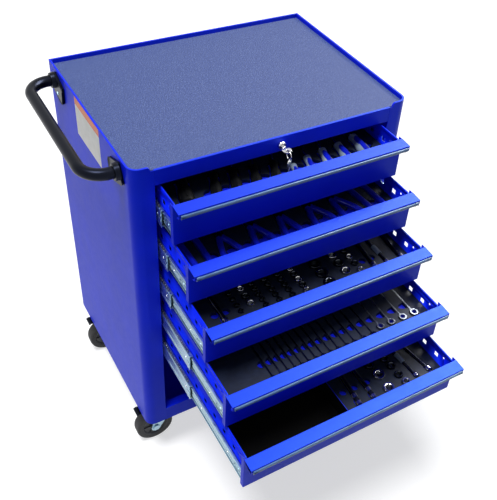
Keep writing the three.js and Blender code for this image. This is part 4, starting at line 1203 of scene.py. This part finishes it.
@dataclass(frozen=True)
class Bar:
    """A long drive bar or ratchet that lies in the foam, its thick head towards the front."""

    length: float = 200.0
    radius: float = 5.0
    head: float = 8.0
    knurl: float = 0.0
    heads: tuple[float, ...] = (0.0, -20.0)

    def outlines(self) -> list[list[Point]]:
        """Returns the slot, about the first head."""
        r, h = self.radius + 1.2, self.head + 1.2
        last = min(self.heads) - h
        half = [(r, self.length), (r, h + 4), (h, h), (h, last + 3), (h - 3, last)]
        return [both_sides(half)]

    def parts(self) -> list[Part]:
        """Returns the bar, its knurled collar and its bright heads."""
        here = Matrix.Identity(4)
        r = self.radius
        rod = [(0, 0), (r, 0), (r, -self.length + 4), (r - 1, -self.length + 2), (0, -self.length + 2)]
        made = [(turned(rod, 20, Axis.Y), "black_steel", here)]
        for place in self.heads:
            h = self.head
            knob = [(0, 6), (h * 0.7, 6), (h, 4), (h, -4), (h * 0.7, -6), (0, -6)]
            made.append((turned(knob, 20, Axis.Y), "chrome", at(0, place)))
        if self.knurl:
            sleeve = prism(circle(0, 0, r + 1.6, 16), self.knurl, self.knurl + 28, Axis.Y, edge=0.8)
            made.append((sleeve, "grey_grip", here))
        return made


Tool = Screwdriver | Pliers | Socket | Wrench | Bar


@dataclass
class Tray:
    """One drawer's foam: a black sheet with cut-outs over a blue layer, with the tools in it."""

    shop: Workshop
    number: int
    drop: float
    sheet: float = 9.0
    flange: float = 28.3
    outlines: list[list[Point]] = field(default_factory=list)
    tools: list[tuple[BMesh, str, Matrix]] = field(default_factory=list)

    def __post_init__(self) -> None:
        """Takes the tray's place from the frame."""
        self.low, self.high = self.shop.box(f"drawer_{self.number}_tool_inlay")
        front_low, front_high = self.shop.box(f"drawer_{self.number}_front")
        self.top = front_high.z - self.drop
        self.face = front_low.y + self.flange

    def lay(self, tool: Tool, x: float, behind: float, turn: float = 0.0) -> None:
        """Lays a tool in the foam.

        Args:
            tool: The tool.
            x: Its reference point's distance to the right of the cabinet's middle.
            behind: That point's distance behind the drawer's front face.
            turn: Turn about the vertical in degrees.
        """
        place = at(self.shop.centre_x + x, self.face + behind, self.top, turn)
        for outline in tool.outlines():
            self.cut(outline, place)
        for part, finish, where in tool.parts():
            self.tools.append((part, finish, place @ where))

    def notches(self, places: tuple[float, ...], behind: float, radius: float) -> None:
        """Cuts a row of round finger notches at the given distances from the cabinet's middle."""
        for x in places:
            self.cut(circle(0, 0, radius, 18), at(self.shop.centre_x + x, self.face + behind))

    def cut(self, outline: list[Point], place: Matrix) -> None:
        """Keeps an outline for cutting, in the row frame."""
        moved = [place @ Vector((x, y, 0)) for x, y in outline]
        self.outlines.append([(p.x, p.y) for p in moved])

    def build(self) -> None:
        """Builds the foam and the tools."""
        low, high = self.low, self.high
        foam = Form(f"drawer_{self.number}_foam", "foam", "under_foam")
        outer = rectangle(low.x, high.x, low.y, high.y)
        inside = [o for o in self.outlines if all(low.x + 1 < x < high.x - 1 and low.y + 1 < y < high.y - 1
                                                  for x, y in o)]
        under = self.top - self.sheet
        foam.add(pierced(outer, inside, under, self.top), "foam")
        bed = block((low.x + 0.2, low.y + 0.2, low.z), (high.x - 0.2, high.y - 0.2, under - 0.1), 0.5)
        foam.add(bed, "under_foam")
        body = f"drawer_{self.number}"
        self.shop.show(foam, body, f"{body}_tool_inlay")
        used = sorted({finish for _, finish, _ in self.tools})
        tools = Form(f"{body}_tools", *used)
        for part, finish, place in self.tools:
            tools.add(part, finish, place)
        self.shop.show(tools, body)


@dataclass
class Drawer:
    """One drawer: box, slide members and front with its trim strip. Its tray of tools is built by Tray."""

    shop: Workshop
    number: int
    member: float = 6.7
    strip: float = 6.5
    cap: float = 9.0

    def build(self) -> None:
        """Builds the drawer."""
        self.box()
        name = f"drawer_{self.number}"
        self.shop.dress(f"{name}_front", self.shop.folded(f"{name}_front", 1.8, 0.3), "blue_paint")
        self.trim()
        Slides(self.shop, self.number).build()

    def box(self) -> None:
        """Builds the box and, as pieces of their own, the slide members on its sides."""
        node = f"drawer_{self.number}_box"
        whole = self.shop.folded(node, fold=1.2, edge=0.2, sheet=1.35)
        centre = self.shop.centre_x
        side = self.shop.box(node)[1].x - centre - self.member
        rails = [f for f in whole.faces if abs(f.calc_center_median().x - centre) >= side]
        corners = [v.co for f in rails for v in f.verts]
        run = (min(c.y for c in corners), max(c.y for c in corners))
        middle = (min(c.z for c in corners) + max(c.z for c in corners)) / 2
        bmesh.ops.delete(whole, geom=rails, context="FACES")
        self.shop.dress(node, whole, "blue_paint")
        for way in Side:
            Slides(self.shop, self.number).drawer_member(way, run, middle)

    def trim(self) -> None:
        """Builds the trim strip with its moulded end caps."""
        node = f"drawer_{self.number}_pull_trim"
        low, high = self.shop.box(node)
        form = Form(f"{node}_look", "trim")
        strip = rectangle(low.y, low.y + self.strip, low.z + 1.7, high.z - 1.6, 2.6)
        form.add(prism(strip, low.x + 1, high.x - 1, Axis.X, edge=0.3))
        cap = rectangle(low.y, low.y + self.strip + 0.4, low.z + 1.2, high.z - 1.1, 2.9)
        for start, end in ((low.x, low.x + self.cap), (high.x - self.cap, high.x)):
            form.add(prism(cap, start, end, Axis.X, edge=0.6))
        self.shop.show(form, f"drawer_{self.number}", node)


@dataclass
class Partition:
    """The bottom drawer's left half: its liner mat and the thin wall beside it."""

    shop: Workshop
    lip: float = 0.4

    def build(self) -> None:
        """Builds the mat, then the wall, whose top edge shows its blue paint."""
        shop, node = self.shop, "drawer_5_divider"
        shop.dress("drawer_5_mat", soften(shop.copied("drawer_5_mat"), 0.5), "liner")
        form = Form(f"{node}_look", "liner", "blue_paint").add(soften(shop.copied(node), 0.3))
        top = max(face.calc_center_median().z for face in form.mesh.faces)
        for face in form.mesh.faces:
            face.material_index = int(face.calc_center_median().z > top - self.lip)
        shop.show(form, shop.body_of[node], node)


def screwdriver_tray(tray: Tray) -> None:
    """Lays out the top drawer: black and two-tone screwdrivers and one large grip."""
    tray.lay(Screwdriver(88, 16.5, 150), -206, 130, -14)
    for x, behind, turn in ((-134, 121, -20), (-90, 117, -18), (-42, 107, -21), (6, 103, -22)):
        tray.lay(Screwdriver(behind - 12, 12.5, 150), x, behind, turn)
    for x, behind, turn, radius in ((41, 75, -17, 10), (84, 88, -15, 12), (131, 98, -14, 13),
                                    (176, 101, -8, 13.5), (228, 115, -7, 14.5)):
        tray.lay(Screwdriver(behind - 10, radius, 150, True), x, behind, turn)
    tray.notches((-170, -131, -85, -38, 8, 50, 91, 135, 186, 236), 61, 15)
    tray.notches((252,), 76, 9)


def pliers_tray(tray: Tray) -> None:
    """Lays out the second drawer: pliers with blue grips."""
    for x, behind, turn, spread in ((-157, 109, 2, 22), (-79, 112, 5, 22), (-4, 112, 2, 19), (74, 115, 8, 24),
                                    (140, 117, 14, 21)):
        tray.lay(Pliers(spread), x, behind, turn)
    tray.lay(Pliers(20, 190, 60), 214, 205, 4)
    tray.lay(Pliers(18, 190, 60), -226, 205, 0)
    tray.notches((-198, -151, -112, -72, -39, -1, 38, 84, 112, 157, 222, 243), 60, 14)


def socket_tray(tray: Tray) -> None:
    """Lays out the third drawer: rows of sockets between drive bars."""
    rows = ((-170, 6.2, 19, 57, False), (-140, 8.5, 24, 68, True), (-112, 7.0, 17.7, 49, False),
            (-78, 7.4, 17.7, 49, False), (-44, 7.6, 17.7, 49, False), (-8, 8.8, 19, 47, True),
            (52, 15.0, 32, 46, False), (106, 12.0, 29, 60, True), (140, 8.5, 24, 48, True))
    for x, radius, pitch, start, bright in rows:
        for i in range(int((400 - start) / pitch)):
            tray.lay(Socket(radius, 5.0, bright and i % 2 == 0), x, start + i * pitch)
    tray.lay(Bar(230, 5.5, 8, 0, (0.0,)), -212, 46)
    tray.lay(Bar(200, 6.0, 8, 0, (0.0, -16.0)), 177, 48, -6)
    tray.lay(Bar(260, 5.0, 6.5, 30, (0.0,)), 213, 43, 0)
    tray.lay(Bar(280, 7.0, 9, 0, (0.0,)), 252, 42, -4)
    tray.notches((-226, -200, 161, 188), 72, 9.5)


def wrench_tray(tray: Tray) -> None:
    """Lays out the fourth drawer: wrenches on edge in slots that widen to the right."""
    slots = (-154, -134, -116, -98, -80.5, -62.5, -44, -25, -5, 16, 38, 61, 85, 112, 141, 172, 206, 240)
    for i, x in enumerate(slots):
        gap = x - slots[i - 1] if i else 20
        ring = 5.5 + i * 0.3
        near = 40 if i > 13 else 26
        tray.lay(Wrench(190 + i * 9, ring, i > 13, gap * 0.62, 70 - near), x, near)


def ratchet_tray(tray: Tray) -> None:
    """Lays out the right half of the bottom drawer: ratchets, bars and large sockets."""
    tray.lay(Bar(230, 6.0, 8, 0, (22.0, 0.0)), 36, 36, -5)
    tray.lay(Bar(230, 6.0, 8, 0, (22.0, 0.0)), 77, 36, -1)
    for x, behind, radius, bright in ((125, 82, 15, True), (123, 39, 14, True), (121, 116, 12, False),
                                      (168, 60, 10.5, False), (168, 89.5, 10.5, False), (165, 114, 10, False),
                                      (171, 34, 10.5, True)):
        tray.lay(Socket(radius, 6.0, bright), x, behind)
    tray.lay(Bar(200, 4.5, 6.5, 46, (0.0,)), 205, 40, 4)
    tray.lay(Bar(260, 5.0, 7.5, 0, (0.0,)), 245, 42, 9)
    tray.notches((21, 53, 89), 80, 9)


LAYOUTS = ((50, screwdriver_tray), (54, pliers_tray), (53, socket_tray), (43, wrench_tray),
           (55, ratchet_tray))


@dataclass
class Studio:
    """Camera, lights, floor and background."""

    shop: Workshop
    eye: tuple[float, float, float] = (-738.73, -1384.18, 876.16)
    azimuth: float = 34.9
    down: float = 39.9
    roll: float = 5.8
    focal: float = 758.11
    centre: Point = (293.3, 227.65)
    sensor: float = 36.0
    surround: float = 0.22
    key: float = 3.3
    key_width: float = 22.0
    key_from: tuple[float, float, float] = (-520, -110, 2300)
    box_power: float = 300.0
    box_size: float = 1.9
    box_from: tuple[float, float, float] = (2000, -100, 1900)
    floor_glow: float = 0.6
    floor_half: float = 12.0

    def build(self) -> None:
        """Builds the camera, then the world, the lights and the floor."""
        self.camera()
        self.world()
        self.lights()
        self.floor()

    def middle(self) -> Vector:
        """Returns the cabinet's centre at rim height, in millimetres."""
        shop = self.shop
        return Vector((shop.centre_x, (shop.front + shop.back) / 2, shop.rim_top))

    def camera(self) -> None:
        """Places the camera where the photograph was taken."""
        made = bpy.data.cameras.new("camera")
        made.sensor_width = self.sensor
        made.sensor_fit = "AUTO"
        longer = max(PHOTO_WIDTH, PHOTO_HEIGHT)
        made.lens = self.focal * self.sensor / longer
        made.shift_x = -(self.centre[0] - PHOTO_WIDTH / 2) / longer
        made.shift_y = (self.centre[1] - PHOTO_HEIGHT / 2) / longer
        made.clip_start = 0.05
        az, el = math.radians(self.azimuth), math.radians(self.down)
        forward = Vector((math.sin(az) * math.cos(el), math.cos(az) * math.cos(el), -math.sin(el)))
        right = Vector((math.cos(az), -math.sin(az), 0))
        up = right.cross(forward)
        roll = math.radians(self.roll)
        level = math.cos(roll) * right + math.sin(roll) * up
        rise = -math.sin(roll) * right + math.cos(roll) * up
        holder = bpy.data.objects.new("camera", made)
        bpy.context.scene.collection.objects.link(holder)
        turn = Matrix((level, rise, -forward)).transposed().to_4x4()
        holder.matrix_world = Matrix.Translation((self.middle() + Vector(self.eye)) * MM) @ turn
        bpy.context.scene.camera = holder

    def world(self) -> None:
        """Sets a soft surround that looks white to the camera and in glossy faces."""
        world = bpy.data.worlds.new("studio")
        bpy.context.scene.world = world
        world.use_nodes = True
        nodes = Nodes(world.node_tree)
        glow = nodes.add("ShaderNodeBackground", {"Color": linear("#eef4ff"), "Strength": self.surround})
        white = nodes.add("ShaderNodeBackground", {"Color": linear("#ffffff"), "Strength": 1.0})
        seen = nodes.add("ShaderNodeMixShader", {0: nodes.direct(), 1: glow.outputs[0],
                                                 2: white.outputs[0]})
        nodes.add("ShaderNodeOutputWorld", {"Surface": seen.outputs[0]})

    def lights(self) -> None:
        """Adds a broad even light from above and a soft box high behind on the right."""
        made = bpy.data.lights.new("key_above", "SUN")
        made.energy = self.key
        made.angle = math.radians(self.key_width)
        self.aim(made, self.key_from, (0, 0, 0))
        made = bpy.data.lights.new("box_behind", "AREA")
        made.shape = "SQUARE"
        made.size = self.box_size
        made.energy = self.box_power
        self.aim(made, self.box_from, (100, -500, -300)).visible_diffuse = False

    def aim(self, light: bpy.types.Light, place: tuple, target: tuple) -> Object:
        """Places a light and points it at a target, both in millimetres from the cabinet's top."""
        holder = bpy.data.objects.new(light.name, light)
        bpy.context.scene.collection.objects.link(holder)
        start = self.middle() + Vector(place)
        way = (self.middle() + Vector(target)) - start
        turn = way.to_track_quat("-Z", "Y").to_matrix().to_4x4()
        holder.matrix_world = Matrix.Translation(start * MM) @ turn
        return holder

    def floor(self) -> None:
        """Adds a pale floor that keeps only a soft shadow and fades into the white surround."""
        part = bmesh.new()
        bmesh.ops.create_grid(part, x_segments=1, y_segments=1, size=self.floor_half)
        mesh = bpy.data.meshes.new("floor")
        part.to_mesh(mesh)
        part.free()
        floor = bpy.data.objects.new("floor", mesh)
        bpy.context.scene.collection.objects.link(floor)
        shade = Shade("studio_floor")
        matt = shade.add("ShaderNodeBsdfDiffuse", {"Color": linear("#585858")})
        pale = shade.add("ShaderNodeBsdfDiffuse", {"Color": linear("#bebebe")})
        glow = shade.add("ShaderNodeEmission", {"Color": linear("#ffffff"), "Strength": self.floor_glow})
        lit = shade.add("ShaderNodeAddShader", {0: pale.outputs[0], 1: glow.outputs[0]})
        seen = shade.add("ShaderNodeMixShader", {0: shade.direct(), 1: matt.outputs[0], 2: lit.outputs[0]})
        shade.tree.links.new(seen.outputs[0], shade.output.inputs["Surface"])
        mesh.materials.append(shade.material)


def main() -> None:
    """Builds the whole cart and the studio round it."""
    logging.basicConfig(level=logging.INFO, format="%(name)s: %(message)s")
    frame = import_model()
    shop = Workshop(frame)
    Cabinet(shop).build()
    Handle(shop).build()
    Lock(shop).build()
    for name in ("front_left", "rear_left", "front_right", "rear_right"):
        Caster(shop, f"caster_{name}", name.endswith("left")).build()
    for number, (drop, layout) in enumerate(LAYOUTS, 1):
        Drawer(shop, number).build()
        tray = Tray(shop, number, drop)
        layout(tray)
        tray.build()
    Partition(shop).build()
    Studio(shop).build()
    scene = bpy.context.scene
    scene.view_settings.view_transform = "Standard"


if __name__ == "__main__":
    main()
